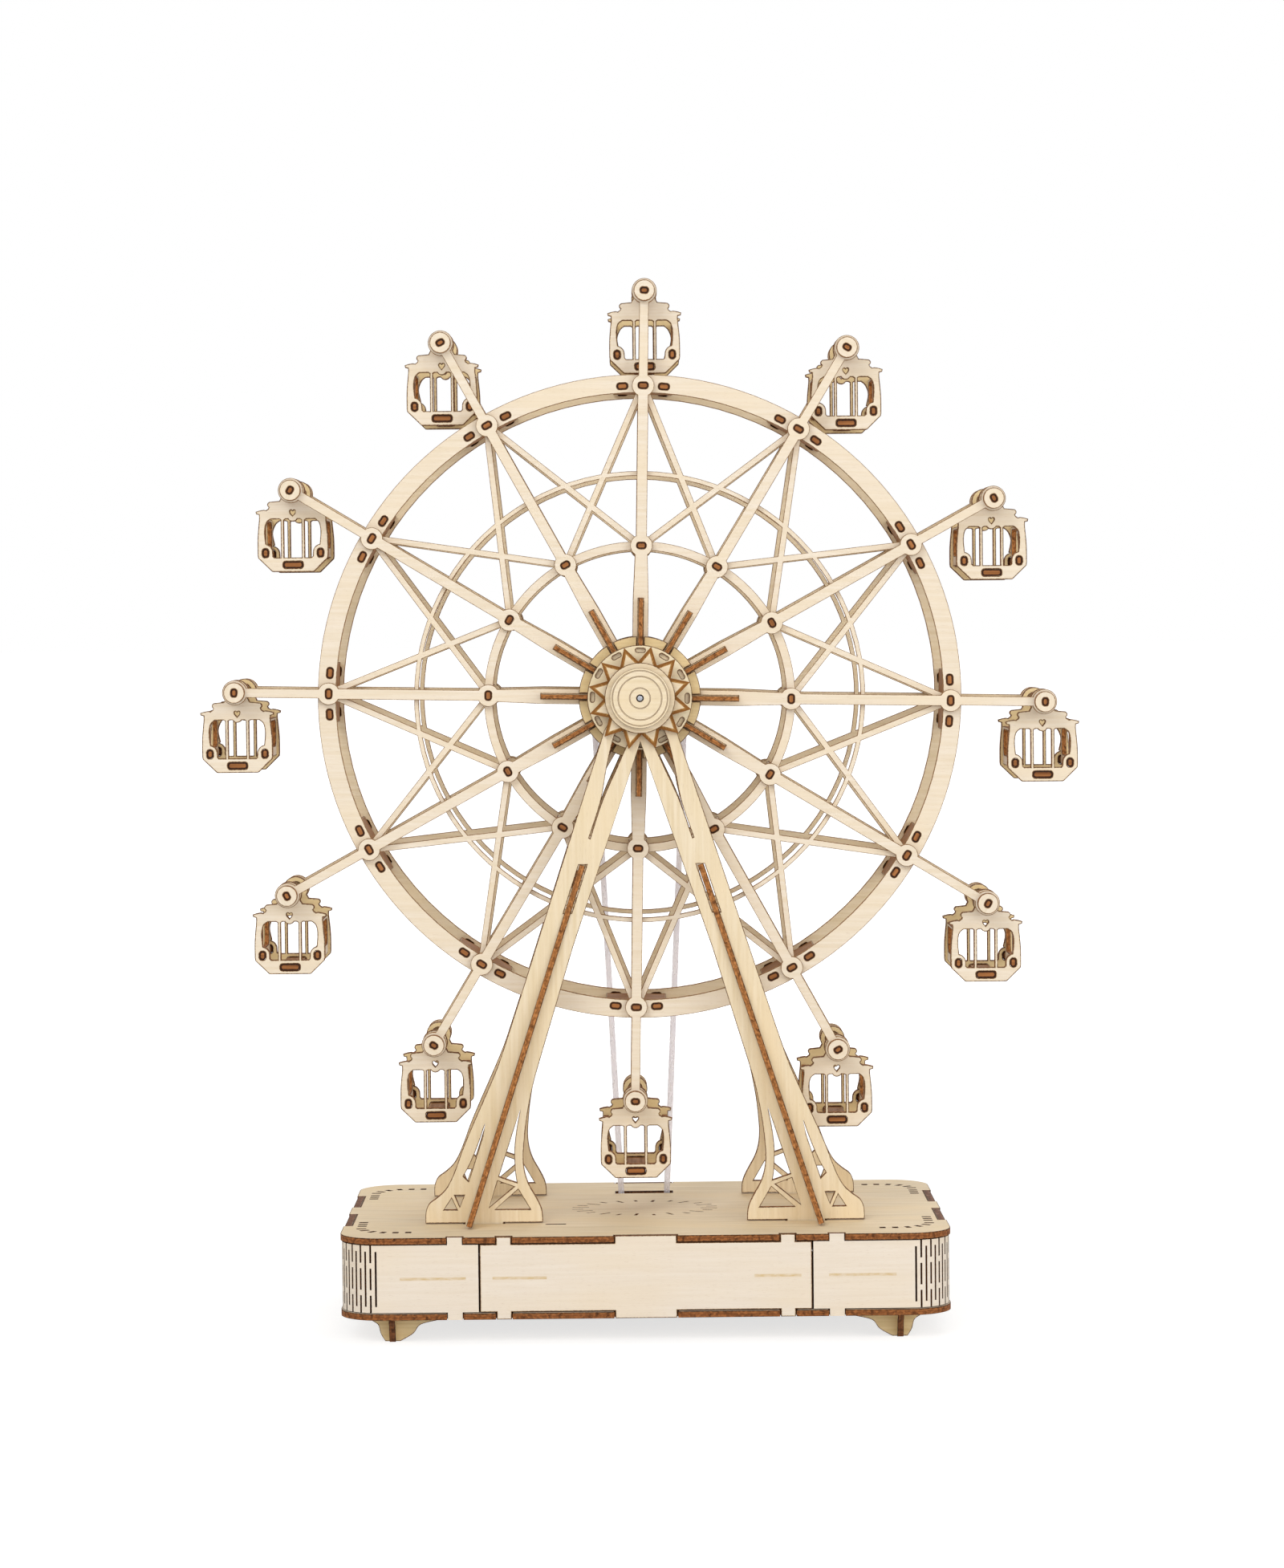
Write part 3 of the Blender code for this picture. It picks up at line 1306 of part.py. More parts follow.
def add_cylinder_and_governor(parts):
    half = CYLINDER_LENGTH / 2
    end = half + GAP + EAR_THICK + GAP
    bore = SHAFT_RADIUS / 3
    profile = [
        (SHAFT_RADIUS, end),
        (SHAFT_RADIUS, half),
        (CYLINDER_RADIUS, half),
        (CYLINDER_RADIUS, -half),
        (SHAFT_RADIUS, -half),
        (SHAFT_RADIUS, -end),
        (bore, -end),
        (bore, end),
    ]
    lay = Matrix.Rotation(math.radians(90), 4, "Y")
    axis = add_axis(parts, "cylinder_axis", (0, CYLINDER_Y, CYLINDER_Z))
    add_piece(parts, "pin_cylinder", turned(profile, 20), lay, BRASS, axis)
    foot_z = BEDPLATE_TOP + GAP
    spindle = rod(FLY_SPINDLE, foot_z, GOVERNOR_TOP - GAP, 8)
    middle = (foot_z + GOVERNOR_TOP) / 2
    reach = FLY_RADIUS - GAP
    blade = block(
        (-reach, -FLY_BLADE / 2, middle - FLY_HEIGHT / 2),
        (reach, FLY_BLADE / 2, middle + FLY_HEIGHT / 2),
    )
    axis = add_axis(parts, "governor_axis", (GOVERNOR_X, GOVERNOR_Y, 0))
    fly = united(spindle, [(blade, Matrix())])
    add_piece(parts, "governor_fly", fly, Matrix(), BRASS, axis)


def build():
    clear_scene()
    parts = new_collection("ferris_wheel_music_box")
    add_base(parts)
    add_supports(parts)
    add_wheel(parts)
    add_cabins(parts)
    add_belt(parts)
    add_movement(parts)
    add_spring_drive(parts)
    add_pulley_drive(parts)
    add_cylinder_and_governor(parts)


build()
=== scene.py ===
"""Ferris wheel music box puzzle in laser-cut plywood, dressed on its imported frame.

Shapes are drawn in millimetres as flat plates with their thickness along Z, and are scaled to
metres when they become pieces. Each plate carries a UV map in millimetres: along and across the
grain on its faces, and along the cut and through the plies on its edges.
"""

import math
import zlib

import bmesh
import bpy
import numpy as np
from mathutils import Matrix, Vector
from mathutils.geometry import delaunay_2d_cdt

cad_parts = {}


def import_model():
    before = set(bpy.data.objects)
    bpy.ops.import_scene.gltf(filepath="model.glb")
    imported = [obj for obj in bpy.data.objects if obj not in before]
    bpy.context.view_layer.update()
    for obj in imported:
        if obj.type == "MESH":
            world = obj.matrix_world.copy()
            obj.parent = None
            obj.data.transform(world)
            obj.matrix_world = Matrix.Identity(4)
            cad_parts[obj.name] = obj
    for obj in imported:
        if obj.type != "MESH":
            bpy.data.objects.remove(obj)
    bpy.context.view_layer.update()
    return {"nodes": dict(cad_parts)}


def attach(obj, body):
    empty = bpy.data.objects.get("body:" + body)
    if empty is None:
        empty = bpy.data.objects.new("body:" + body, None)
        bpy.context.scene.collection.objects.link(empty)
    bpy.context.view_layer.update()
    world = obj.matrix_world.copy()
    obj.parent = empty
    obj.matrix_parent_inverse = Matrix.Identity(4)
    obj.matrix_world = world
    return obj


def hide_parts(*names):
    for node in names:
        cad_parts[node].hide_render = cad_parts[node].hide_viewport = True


# Sheet stock; all sizes are in millimetres where nothing else is said
SCALE = 0.001
PLY = 2.0
GAP = 0.3
SINGE_WIDTH = 0.28
SINGE_DROP = 0.07
FINE_SINGE = 0.2
SMOOTH_ANGLE = math.radians(14)
SAME_POINT = 0.01
NO_AREA = 1e-7
LOOSE_PLY = 1.9
HOLE_ROOM = 0.1
SHOULDER_ROOM = 0.05
FIN_ROOM = 0.12
NOTCH_ROOM = 0.15
GRAIN_SHIFT = 37.0
GRAIN_STARTS = 997
FACE, EDGE, SINGE = 0, 1, 2
SIDES = (-1, 1)

# Base
BASE_WIDTH = 187.0
BASE_DEPTH = 122.0
BASE_CORNER = 13.0
FOOT_HEIGHT = 7.4
BOTTOM_TOP = 9.4
TOP_UNDER = 30.6
BASE_TOP = 32.6
WALL_INSET = 0.4
SEAM_X = 50.7
SEAM_GAP = 0.5
MIDDLE_TAB = 18.8
SMALL_TAB = 4.5
PANEL_TAB_X = 43.2
CORNER_TAB_X = 58.1
SIDE_TABS = ((-33.5, -8.0), (8.0, 33.5))
CORNER_STEPS = 18
FOOT_X = 77.5
FOOT_Y = 53.0
FOOT_OUTER = 6.2
FOOT_INNER = 13.5
FOOT_SOLE = 2.3
FOOT_TENON = 5.0
FOOT_TENON_AT = 8.0
BRACKET_TENON = 6.0
BRACKET_TENONS_Y = (29.6, 42.2)
KEY_Y = 12.0
KEY_HOLE = 3.5
KEY_THICKNESS = 1.3
HINGE_PITCH = 1.52
HINGE_SLIT = 0.55
HINGE_COLUMNS = 11
HINGE_SHARES = (0.0, 0.09, 0.26, 0.34, 0.66, 0.74, 0.91, 1.0)
HINGE_BRIDGES = ((1, 7), (3, 5))
DASH_Z = 20.0
DASHES = ((-64.8, 10.2), (-38.4, 8.4), (40.1, 7.3), (65.9, 10.4))
TICK_X = 77.5
TICK_Y = 38.8
TICK_RADIUS = 10.2
DIAL_RADIUS = 17.0
DIAL_WIDENED = 1.35

# Hub trim
STAR_RADIUS = 16.2
STAR_VALLEY = 11.3
STAR_TURN = -2
# Width of the star's dark strip, partly real singe and partly painted shade
STAR_SINGE_AND_SHADE = 1.1
CAP_RADIUS = 10.9
CAP_STEP_RADIUS = 9.2
BEARING_RADIUS = 10.5
GROOVES = (3.15, 6.7, 8.5)
GROOVE_WIDTH = 0.3
GROOVE_DEPTH = 0.35
GROOVE_SINGE = 0.07

# Cabins
CABIN_PLATE_Y = 13.3
EAR_RADIUS = 3.95
PIVOT_HOLE = 2.2
ROD_LONG = 2.45
ROD_SHORT = 1.8
CAP_DISC_RADIUS = 3.25
SPACERS_Y = (-18.2, -15.8, 15.8, 18.2)
PANE_TOP, PANE_LOW = -8.7, -20.7
BAR_X, BAR_WIDTH = 3.25, 1.0
FLOOR_HALF = 3.0
FLOOR_Z = -23.0
WALL_X = 9.3
WALL_TENON_X = 8.6
WALL_TENON_Z = -19.3
WALL_TENON = 2.5
CABIN_WALL_PLY = 1.6
CABIN_SINGE = 0.34

# Wheel
ARMS = 12
PITCH = 30
WHEEL_PHASE = 1.2
HUB_HEIGHT = 162.8
HUB_Z = 195.4
RIM_RADIUS = 97.6
RIM_WIDTH = 5.6
RIM_NODE_RADIUS = 96.9
RIM_TENON = 3.1
RIM_TENON_TURN = 3.83
SIDE_TENON = 3.4
INNER_TENON = 2.9
CROSS_PLATE = (9.5, 1.5)
CROSS_BAR = (2.9, 1.35)
MIDDLE_RING_RADIUS = 69.7
MIDDLE_RING_WIDTH = 1.4
INNER_RING_RADIUS = 47.2
INNER_RING_WIDTH = 2.7
LATTICE_WIDTH = 1.9
PIVOT_RADIUS = 126.2
SPOKE_TIP_WIDTH = 2.9
SPOKE_MIDDLE_WIDTH = 3.3
SPOKE_HUB_WIDTH = 4.8
NODE_RADIUS = 3.45
INNER_LUG_RADIUS = 3.1
INNER_LUG_TOP = 49.4
INNER_LUG_ANGLE = 4.6
TIP_RADIUS = 3.9
WEB_Y = 18.4
WEB_OUTSIDE = 19.4
SPOKE_Y = 20.7
SPOKE_OUTSIDE = 21.7
ROD_OUTSIDE = SPOKE_OUTSIDE + GAP + PLY
HUB_DISC_RADIUS = 19.0
HUB_DISC_Y = 23.0
SLOTTED_DISC_RADIUS = 16.3
SLOTTED_DISC_Y = 28.7
DISC_SLOT_RADIUS = 14.7
FIN_INNER = 14.0
FIN_OUTER = 30.7
FIN_FRONT = 27.4
FIN_THICKNESS = 1.5
TENON_LENGTH = 0.8
TENON_SINK = 0.55
TENON_PLATE = 0.6
TENON_SINGE = 0.5
AXLE_RADIUS = 1.5
AXLE_TIP_RADIUS = 1.0
AXLE_SHOULDER = 34.4
AXLE_FRONT = 38.9
AXLE_BACK = 41.6
FIXED_BORE = AXLE_RADIUS + GAP
TURNING_BORE = AXLE_RADIUS + GAP / 2

# Supports
SUPPORT_Y = 31.0
BOSS_RADIUS = 11.0
FORK_APEX = 13.6
SUPPORT_TENON = 12.0
SUPPORT_TENON_X = 50.0
RIB_TOP = (18.2, 111.3)
RIB_FOOT_X = 54.5
RIB_TENON = 15.0
RIB_LIFT = 0.9
RIB_DEPTH_TOP = 0.6
RIB_DEPTH_FOOT = 13.0
RIB_STRIP = 4.5

# Pulleys and belt
BEARING_Y = 33.3
BELT_Y = 37.6
BELT_SLOT = (9.2, 2.7)
BELT_DIAMETER = 1.6
BELT_DRAWN_RADIUS = 0.95
BELT_WHEEL_RADIUS = 15.0
BELT_DRIVE_RADIUS = 6.85
PULLEY_RIM = 2.2
DRIVE_AXIS_Z = 19.7

# Camera in millimetres, degrees and lens length, and studio in metres; each lamp has its name,
# place, the height that it is turned to, size and power
CAMERA_PLACE = (-4.653, -1335.405, 220.181)
CAMERA_YAW = 0.2216
CAMERA_PITCH = 2.2594
CAMERA_ROLL = -0.5773
CAMERA_LENS = 96.818
FLOOR_REACH = 30.0
LAMPS = (
    ("key_light", (-0.9, -1.6, 1.5), 0.17, 1.2, 14.0),
    ("fill_light", (1.3, -1.4, 0.7), 0.15, 1.4, 9.5),
    ("front_light", (0.1, -2.3, 0.55), 0.17, 1.6, 9.0),
    ("back_light", (0.4, 1.5, 1.3), 0.15, 1.2, 10.0),
)


def at(x, y, z):
    return Matrix.Translation((x, y, z))


def spin(degrees, axis):
    return Matrix.Rotation(math.radians(degrees), 4, axis)


METRES = Matrix.Scale(SCALE, 4)
STAND, EDGE_ON = spin(90, "X"), spin(-90, "Y")
QUARTER, HALF_TURN = spin(90, "Z"), spin(180, "Z")
HUB = at(0, 0, HUB_Z)
WHEEL = HUB @ spin(WHEEL_PHASE, "Y")


def plane_y(y):
    """Stands a plate up with its middle at this Y."""
    return at(0, y, 0) @ STAND


# Outlines

def polar(radius, degrees):
    """A point at an angle that runs clockwise from straight up."""
    angle = math.radians(degrees)
    return (radius * math.sin(angle), radius * math.cos(angle))


def moved(points, x, y):
    return [(x + px, y + py) for px, py in points]


def arc(radius, start, stop, steps, centre=(0.0, 0.0)):
    angles = (start + (stop - start) * index / steps for index in range(steps + 1))
    return moved([polar(radius, angle) for angle in angles], *centre)


def circle(radius, steps=48, centre=(0.0, 0.0)):
    return arc(radius, 0, 360 - 360 / steps, steps - 1, centre)


def rectangle(half_x, half_y, centre=(0.0, 0.0)):
    corners = [(-half_x, -half_y), (half_x, -half_y), (half_x, half_y), (-half_x, half_y)]
    return moved(corners, *centre)


def rounded(half_x, half_y, radius, centre=(0.0, 0.0), steps=4):
    """Rectangle with rounded corners."""
    points = []
    for side_x, side_y, start in ((1, 1, 0), (1, -1, 90), (-1, -1, 180), (-1, 1, 270)):
        middle = (centre[0] + side_x * (half_x - radius), centre[1] + side_y * (half_y - radius))
        points += arc(radius, start, start + 90, steps, middle)
    return points


def span(middle, length):
    return (middle - length / 2, middle + length / 2)


def slot_hole(length, centre):
    """Slot for a tenon of one ply."""
    return rectangle(length / 2 + GAP, PLY / 2 + GAP, centre)


def notched(tabs, edge, deep, gap=GAP):
    """Corners of the notches or tabs that go from one height to another."""
    points = []
    for low, high in tabs:
        low, high = low - gap, high + gap
        points += [(low, edge), (low, deep), (high, deep), (high, edge)]
    return points


def mirrored(points):
    return [(-x, y) for x, y in reversed(points)]


def flipped(points):
    return [(x, -y) for x, y in reversed(points)]


def turned(points, degrees):
    """The outline turned clockwise about its own origin."""
    angle = math.radians(degrees)
    sine, cosine = math.sin(angle), math.cos(angle)
    return [(x * cosine + y * sine, y * cosine - x * sine) for x, y in points]


def each_arm(*outlines):
    """The outlines turned to every arm of the wheel."""
    return [turned(points, PITCH * arm) for arm in range(ARMS) for points in outlines]


def smoothed(points, steps=6):
    """A smooth open line through the points."""
    result = []
    spots = [Vector(point) for point in points[:1] + points + points[-1:]]
    for before, here, there, after in zip(spots, spots[1:], spots[2:], spots[3:]):
        for step in range(steps):
            share = step / steps
            bend = 2 * here + (there - before) * share
            bend += (2 * before - 5 * here + 4 * there - after) * share ** 2
            bend += (3 * here - before - 3 * there + after) * share ** 3
            result.append(tuple(bend / 2))
    return result + [tuple(points[-1])]


def following(points):
    return points[1:] + points[:1]


def clipped(points, start, end, offset):
    """What is left of a convex outline on the right of a line that is moved right by offset."""
    start = Vector(start)
    way = (Vector(end) - start).normalized()
    normal = Vector((way.y, -way.x))
    kept = []
    for here, there in zip(points, following(points)):
        here, there = Vector(here), Vector(there)
        depth_here, depth_there = ((spot - start).dot(normal) - offset for spot in (here, there))
        if depth_here >= 0:
            kept.append(tuple(here))
        if (depth_here >= 0) != (depth_there >= 0):
            kept.append(tuple(here.lerp(there, depth_here / (depth_here - depth_there))))
    return kept


def area(points):
    pairs = zip(points, following(points))
    return sum(x0 * y1 - x1 * y0 for (x0, y0), (x1, y1) in pairs) / 2


def cleaned(points):
    """The outline without points that lie on each other."""
    kept = []
    for point in points:
        if not kept or math.dist(point, kept[-1]) > SAME_POINT:
            kept.append(point)
    return kept if math.dist(kept[0], kept[-1]) > SAME_POINT else kept[:-1]


def inset(points, distance):
    """The outline moved to the left of its direction, with mitred corners."""
    result = []
    for before, here, after in zip(points[-1:] + points[:-1], points, following(points)):
        ways = (Vector(here) - Vector(before), Vector(after) - Vector(here))
        first, second = (Vector((-way.y, way.x)) for way in (way.normalized() for way in ways))
        shift = (first + second) / max(1 + first.dot(second), 0.5) * distance
        result.append((here[0] + shift.x, here[1] + shift.y))
    return result


# Meshes

def mesh_from(corners, faces):
    """A mesh from corners and (indices, uvs, material) faces."""
    mesh = bpy.data.meshes.new("shape")
    mesh.from_pydata(corners, [], [face[0] for face in faces])
    layer = mesh.uv_layers.new(name="UVMap")
    loop = 0
    for polygon, (_, uvs, kind) in zip(mesh.polygons, faces):
        polygon.material_index = kind
        for uv in uvs:
            layer.data[loop].uv = uv
            loop += 1
    return mesh


def box_uvs(u0, u1, v0, v1):
    return [(u0, v0), (u1, v0), (u1, v1), (u0, v1)]


def filled(loops):
    """Triangles between the first loop and its holes, and the points added where loops cross."""
    points, edges = sum(loops, []), []
    for loop in loops:
        numbers = list(range(len(edges), len(edges) + len(loop)))
        edges += zip(numbers, following(numbers))
    spots = [Vector(point) for point in points]
    found, _, triangles, origins, _, _ = delaunay_2d_cdt(spots, edges, [], 0, 1e-5)
    places = np.array([tuple(point) for point in found])
    middles = places[np.array(triangles)].mean(axis=1)
    inside = np.zeros(len(middles), bool)
    for first, second in edges:
        (x0, y0), (x1, y1) = points[first], points[second]
        if y0 == y1:
            continue
        beside = (y0 > middles[:, 1]) != (y1 > middles[:, 1])
        inside ^= beside & (middles[:, 0] < x0 + (middles[:, 1] - y0) * (x1 - x0) / (y1 - y0))
    extra, known = [], []
    for place, source in zip(places, origins):
        known.append(source[0] if source else len(points) + len(extra))
        if not source:
            extra.append(tuple(place))
    kept = [[known[i] for i in corners] for corners, use in zip(triangles, inside) if use]
    return kept, extra


def plate(outlines, thickness=PLY, grain=0.0, singe=SINGE_WIDTH, finish=0, charred=0):
    """A laser-cut plate in the XY plane, centred on it; the outlines after the first are holes.

    Its faces end in a thin singed strip that slopes to the burnt edge. The finish says which set
    of three materials it takes. The last outlines, as many as charred says, are cuts with the
    next set's edge and strip.
    """
    face, edge, strip = (3 * finish + kind for kind in (FACE, EDGE, SINGE))
    rings = [cleaned(points) for points in outlines]
    for index, points in enumerate(rings):
        if (area(points) > 0) != (index == 0):
            points.reverse()
    inner = [inset(points, singe) for points in rings]
    half, drop = thickness / 2, min(SINGE_DROP, singe)
    triangles, extra = filled(inner)
    flat, outer = sum(inner, []) + extra, sum(rings, [])
    corners = []
    for points, height in ((flat, half), (flat, -half), (outer, half - drop), (outer, drop - half)):
        corners += [(x, y, height) for x, y in points]
    grained = turned(flat, grain)
    count, faces = len(flat), []
    for a, b, c in triangles:
        size = area([flat[a], flat[b], flat[c]])
        if abs(size) < NO_AREA:
            continue
        order = (a, b, c) if size > 0 else (a, c, b)
        uvs = [grained[i] for i in order]
        faces.append((order, uvs, face))
        faces.append(([count + i for i in order[::-1]], uvs[::-1], face))
    start, top, low = 0, 2 * count, 2 * count + len(outer)
    for number, points in enumerate(rings):
        burn = 3 if number >= len(rings) - charred else 0
        numbers = list(range(start, start + len(points)))
        stop = 0.0
        for here, there in zip(numbers, following(numbers)):
            along, stop = stop, stop + math.dist(outer[here], outer[there])
            side = (low + here, low + there, top + there, top + here)
            faces.append((side, box_uvs(along, stop, -1, 1), edge + burn))
            rim = (top + here, top + there, there, here)
            faces.append((rim, box_uvs(along, stop, 0, 1), strip + burn))
            rim = (low + there, low + here, count + here, count + there)
            faces.append((rim, box_uvs(stop, along, 0, 1), strip + burn))
        start += len(points)
    return mesh_from(corners, faces)


def lathed(profile, steps=32):
    """A closed profile of (radius, height) turned about Z."""
    corners, faces, size, lengths = [], [], len(profile), [0.0]
    for step in range(steps):
        corners += [(*polar(radius, 360 * step / steps), height) for radius, height in profile]
    for here, there in zip(profile, following(profile)):
        lengths.append(lengths[-1] + math.dist(here, there))
    for step in range(steps):
        start, stop = step * size, (step + 1) % steps * size
        for index in range(size):
            other = (index + 1) % size
            reach = max(profile[index][0], profile[other][0])
            if reach == 0:
                continue
            quad = (start + index, stop + index, stop + other, start + other)
            girth = reach * math.tau / steps
            uvs = box_uvs(step * girth, (step + 1) * girth, lengths[index], lengths[index + 1])
            faces.append((quad, uvs, FACE))
    return mesh_from(corners, faces)


def tube(route, radius, sides=10):
    """A closed round tube along a loop of points."""
    corners, faces = [], []
    along, count = 0.0, len(route)
    for index, point in enumerate(route):
        way = (Vector(route[(index + 1) % count]) - Vector(route[index - 1])).normalized()
        side = way.cross(Vector((0, 1, 0))).normalized()
        up = side.cross(way)
        for step in range(sides):
            angle = math.tau * step / sides
            reach = radius * (math.cos(angle) * side + math.sin(angle) * up)
            corners.append(tuple(Vector(point) + reach))
    for index in range(count):
        start, stop = index * sides, (index + 1) % count * sides
        far = along + math.dist(route[index], route[(index + 1) % count])
        for step in range(sides):
            turn, v0, v1 = (step + 1) % sides, step * 0.5, (step + 1) * 0.5
            uvs = [(along, v0), (along, v1), (far, v1), (far, v0)]
            faces.append(((start + step, start + turn, stop + turn, stop + step), uvs, FACE))
        along = far
    return mesh_from(corners, faces)


def piece(name, placed, finishes, body, slot, *replaced):
    """A piece from placed plates, each with its own stretch of grain, riding on a body."""
    shape = bmesh.new()
    start = zlib.crc32(name.encode()) % GRAIN_STARTS
    for number, (source, place) in enumerate(placed):
        copy = source.copy()
        copy.transform(place)
        copy.transform(METRES)
        for corner in copy.uv_layers[0].data:
            corner.uv.x += start + GRAIN_SHIFT * number
        shape.from_mesh(copy)
        bpy.data.meshes.remove(copy)
    bmesh.ops.recalc_face_normals(shape, faces=shape.faces)
    mesh = bpy.data.meshes.new(name)
    shape.to_mesh(mesh)
    shape.free()
    for finish in finishes:
        mesh.materials.append(finish)
    mesh.shade_smooth()
    mesh.set_sharp_from_angle(angle=SMOOTH_ANGLE)
    made = linked(bpy.data.objects.new(name, mesh))
    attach(made, body)
    if replaced:
        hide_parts(*replaced)


def linked(made):
    bpy.context.scene.collection.objects.link(made)
    return made


# Materials

SPECULAR = "Specular IOR Level"


def linear(colour):
    """A colour from its sRGB bytes."""
    values = []
    for byte in colour:
        value = byte / 255
        values.append(value / 12.92 if value <= 0.04045 else ((value + 0.055) / 1.055) ** 2.4)
    return (*values, 1.0)


def scaled(colour, *factors):
    """The colour times one factor, or a factor for each channel."""
    return tuple(min(value * by, 1.0) for value, by in zip(colour[:3], factors * 3)) + (1.0,)


class Nodes:
    """Short calls to add and link the nodes of one tree."""

    def __init__(self, owner):
        owner.use_nodes = True
        self.owner, self.tree = owner, owner.node_tree

    def fill(self, sockets, values):
        for key, value in values.items():
            if isinstance(value, bpy.types.NodeSocket):
                self.tree.links.new(value, sockets[key])
            else:
                sockets[key].default_value = value

    def node(self, kind, inputs=None, **settings):
        """Adds a node and gives its outputs."""
        made = self.tree.nodes.new("ShaderNode" + kind)
        for key, value in settings.items():
            setattr(made, key, value)
        self.fill(made.inputs, inputs or {})
        return made.outputs

    def axes(self, vector):
        return self.node("SeparateXYZ", {"Vector": vector})

    def stretched(self, vector, scale):
        return self.node("Mapping", {"Vector": vector, "Scale": scale})["Vector"]

    def place(self):
        """Object coordinates in millimetres."""
        return self.stretched(self.node("TexCoord")["Object"], (1000.0, 1000.0, 1000.0))

    def noise(self, vector, scale, detail=3.0, distortion=0.0):
        """Noise at one scale, or stretched by three."""
        if isinstance(scale, tuple):
            vector, scale = self.stretched(vector, scale), 1.0
        inputs = {"Vector": vector, "Scale": scale, "Detail": detail, "Distortion": distortion}
        return self.node("TexNoise", inputs)["Fac"]

    def ramp(self, factor, stops):
        colour = self.node("ValToRGB", {"Fac": factor})["Color"]
        band = colour.node.color_ramp
        while len(band.elements) < len(stops):
            band.elements.new(0.5)
        for element, (position, shade) in zip(band.elements, stops):
            element.position = position
            element.color = shade
        return colour

    def range(self, value, low, high, to_low=0.0, to_high=1.0):
        names = ("Value", "From Min", "From Max", "To Min", "To Max")
        return self.node("MapRange", dict(zip(names, (value, low, high, to_low, to_high))))["Result"]

    def mix(self, factor, first, second):
        return self.node("Mix", {0: factor, 6: first, 7: second}, data_type="RGBA")[2]

    def math(self, operation, first, second=0.0):
        return self.node("Math", {0: first, 1: second}, operation=operation)["Value"]

    def seen_directly(self):
        """1 for camera, glossy and transmission rays."""
        path = self.node("LightPath")
        first = self.math("MAXIMUM", path["Is Camera Ray"], path["Is Glossy Ray"])
        return self.math("MAXIMUM", first, path["Is Transmission Ray"])


class Finish(Nodes):
    """A material whose nodes end in one shader."""

    def __init__(self, name, metallic=0.0):
        super().__init__(bpy.data.materials.new(name))
        self.inputs = self.tree.nodes["Principled BSDF"].inputs
        self.inputs["Metallic"].default_value = metallic

    def uv(self):
        return self.node("TexCoord")["UV"]

    def material(self, colour, roughness, bump=None, levels=None):
        """The material with its colour, its roughness, a bump and the shader's own levels."""
        inputs = {"Base Color": colour, "Roughness": roughness, **(levels or {})}
        if bump:
            names = ("Height", "Strength", "Distance")
            inputs["Normal"] = self.node("Bump", dict(zip(names, bump)))["Normal"]
        self.fill(self.inputs, inputs)
        return self.owner


def wood_tone(finish, vector, light, dark):
    """Pale veneer: broad drift in tone, fine streaks and sparse short flecks along the grain."""
    streaks = finish.noise(vector, (0.035, 0.9, 1.0), 5.0, 0.4)
    drift = finish.noise(vector, (0.02, 0.06, 1.0), 2.0)
    fleck = finish.noise(vector, (0.45, 7.0, 1.0), 2.0)
    colour = finish.mix(finish.range(streaks, 0.33, 0.72), light, dark)
    warm = scaled(light, 0.985, 0.94, 0.84)
    colour = finish.mix(finish.range(drift, 0.45, 0.72, 0.0, 0.75), colour, warm)
    flecks = finish.range(fleck, 0.63, 0.72, 0.0, 0.28)
    return finish.mix(flecks, colour, linear((176, 140, 96))), streaks, fleck


def dashes(finish):
    """Mask of the faint scorch dashes at half height on the front of the base."""
    place = finish.axes(finish.place())
    total = None
    for middle, half in DASHES:
        off = finish.math("ABSOLUTE", finish.math("SUBTRACT", place["X"], middle))
        mask = finish.range(off, half - 0.3, half, 1.0, 0.0)
        total = mask if total is None else finish.math("MAXIMUM", total, mask)
    off = finish.math("ABSOLUTE", finish.math("SUBTRACT", place["Z"], DASH_Z))
    total = finish.math("MULTIPLY", total, finish.range(off, 0.25, 0.6, 1.0, 0.0))
    return finish.math("MULTIPLY", total, finish.range(place["Y"], -55.0, -54.0, 1.0, 0.0))


def face_finish(name, light, dark, dashed=False):
    """Face of a plate, on the base's panels with the scorch dashes."""
    finish = Finish(name)
    vector = finish.uv()
    colour, streaks, fleck = wood_tone(finish, vector, linear(light), linear(dark))
    if dashed:
        patchy = finish.range(finish.noise(vector, (0.5, 2.0, 1.0)), 0.3, 0.7, 0.25, 0.75)
        amount = finish.math("MULTIPLY", dashes(finish), patchy)
        colour = finish.mix(amount, colour, linear((206, 172, 104)))
    height = finish.math("ADD", fleck, finish.math("MULTIPLY", streaks, 0.6))
    roughness = finish.range(streaks, 0.3, 0.7, 0.54, 0.7)
    return finish.material(colour, roughness, (height, 0.22, 0.00012), {SPECULAR: 0.15})


def edge_finish(name, core, veneer, burnt):
    """Laser-cut edge: three plies, burnt towards both faces, with fine vertical striations."""
    core, veneer, burnt = linear(core), linear(veneer), linear(burnt)
    finish = Finish(name)
    vector = finish.uv()
    wobble = finish.math("MULTIPLY", finish.noise(vector, (0.5, 0.8, 1.0)), 0.12)
    depth = finish.math("ABSOLUTE", finish.math("ADD", finish.axes(vector)["Y"], wobble))
    glue, bright = scaled(core, 0.55), scaled(veneer, 1.45)
    places = (0.0, 0.3, 0.36, 0.42, 0.68, 0.92)
    colour = finish.ramp(depth, list(zip(places, (core, core, glue, veneer, veneer, burnt))))
    char = finish.noise(vector, (0.55, 0.25, 1.0), 4.0)
    colour = finish.mix(finish.range(char, 0.46, 0.66, 0.0, 0.8), colour, burnt)
    lines = finish.noise(vector, (5.0, 0.15, 1.0), 1.0)
    colour = finish.mix(finish.range(lines, 0.45, 0.75, 0.0, 0.35), colour, glue)
    specks = finish.noise(vector, (0.95, 1.3, 1.0), 2.0)
    colour = finish.mix(finish.range(specks, 0.5, 0.62, 0.0, 0.6), colour, bright)
    roughness = finish.range(char, 0.3, 0.7, 0.6, 0.85)
    return finish.material(colour, roughness, (lines, 0.3, 0.00015), {SPECULAR: 0.2})


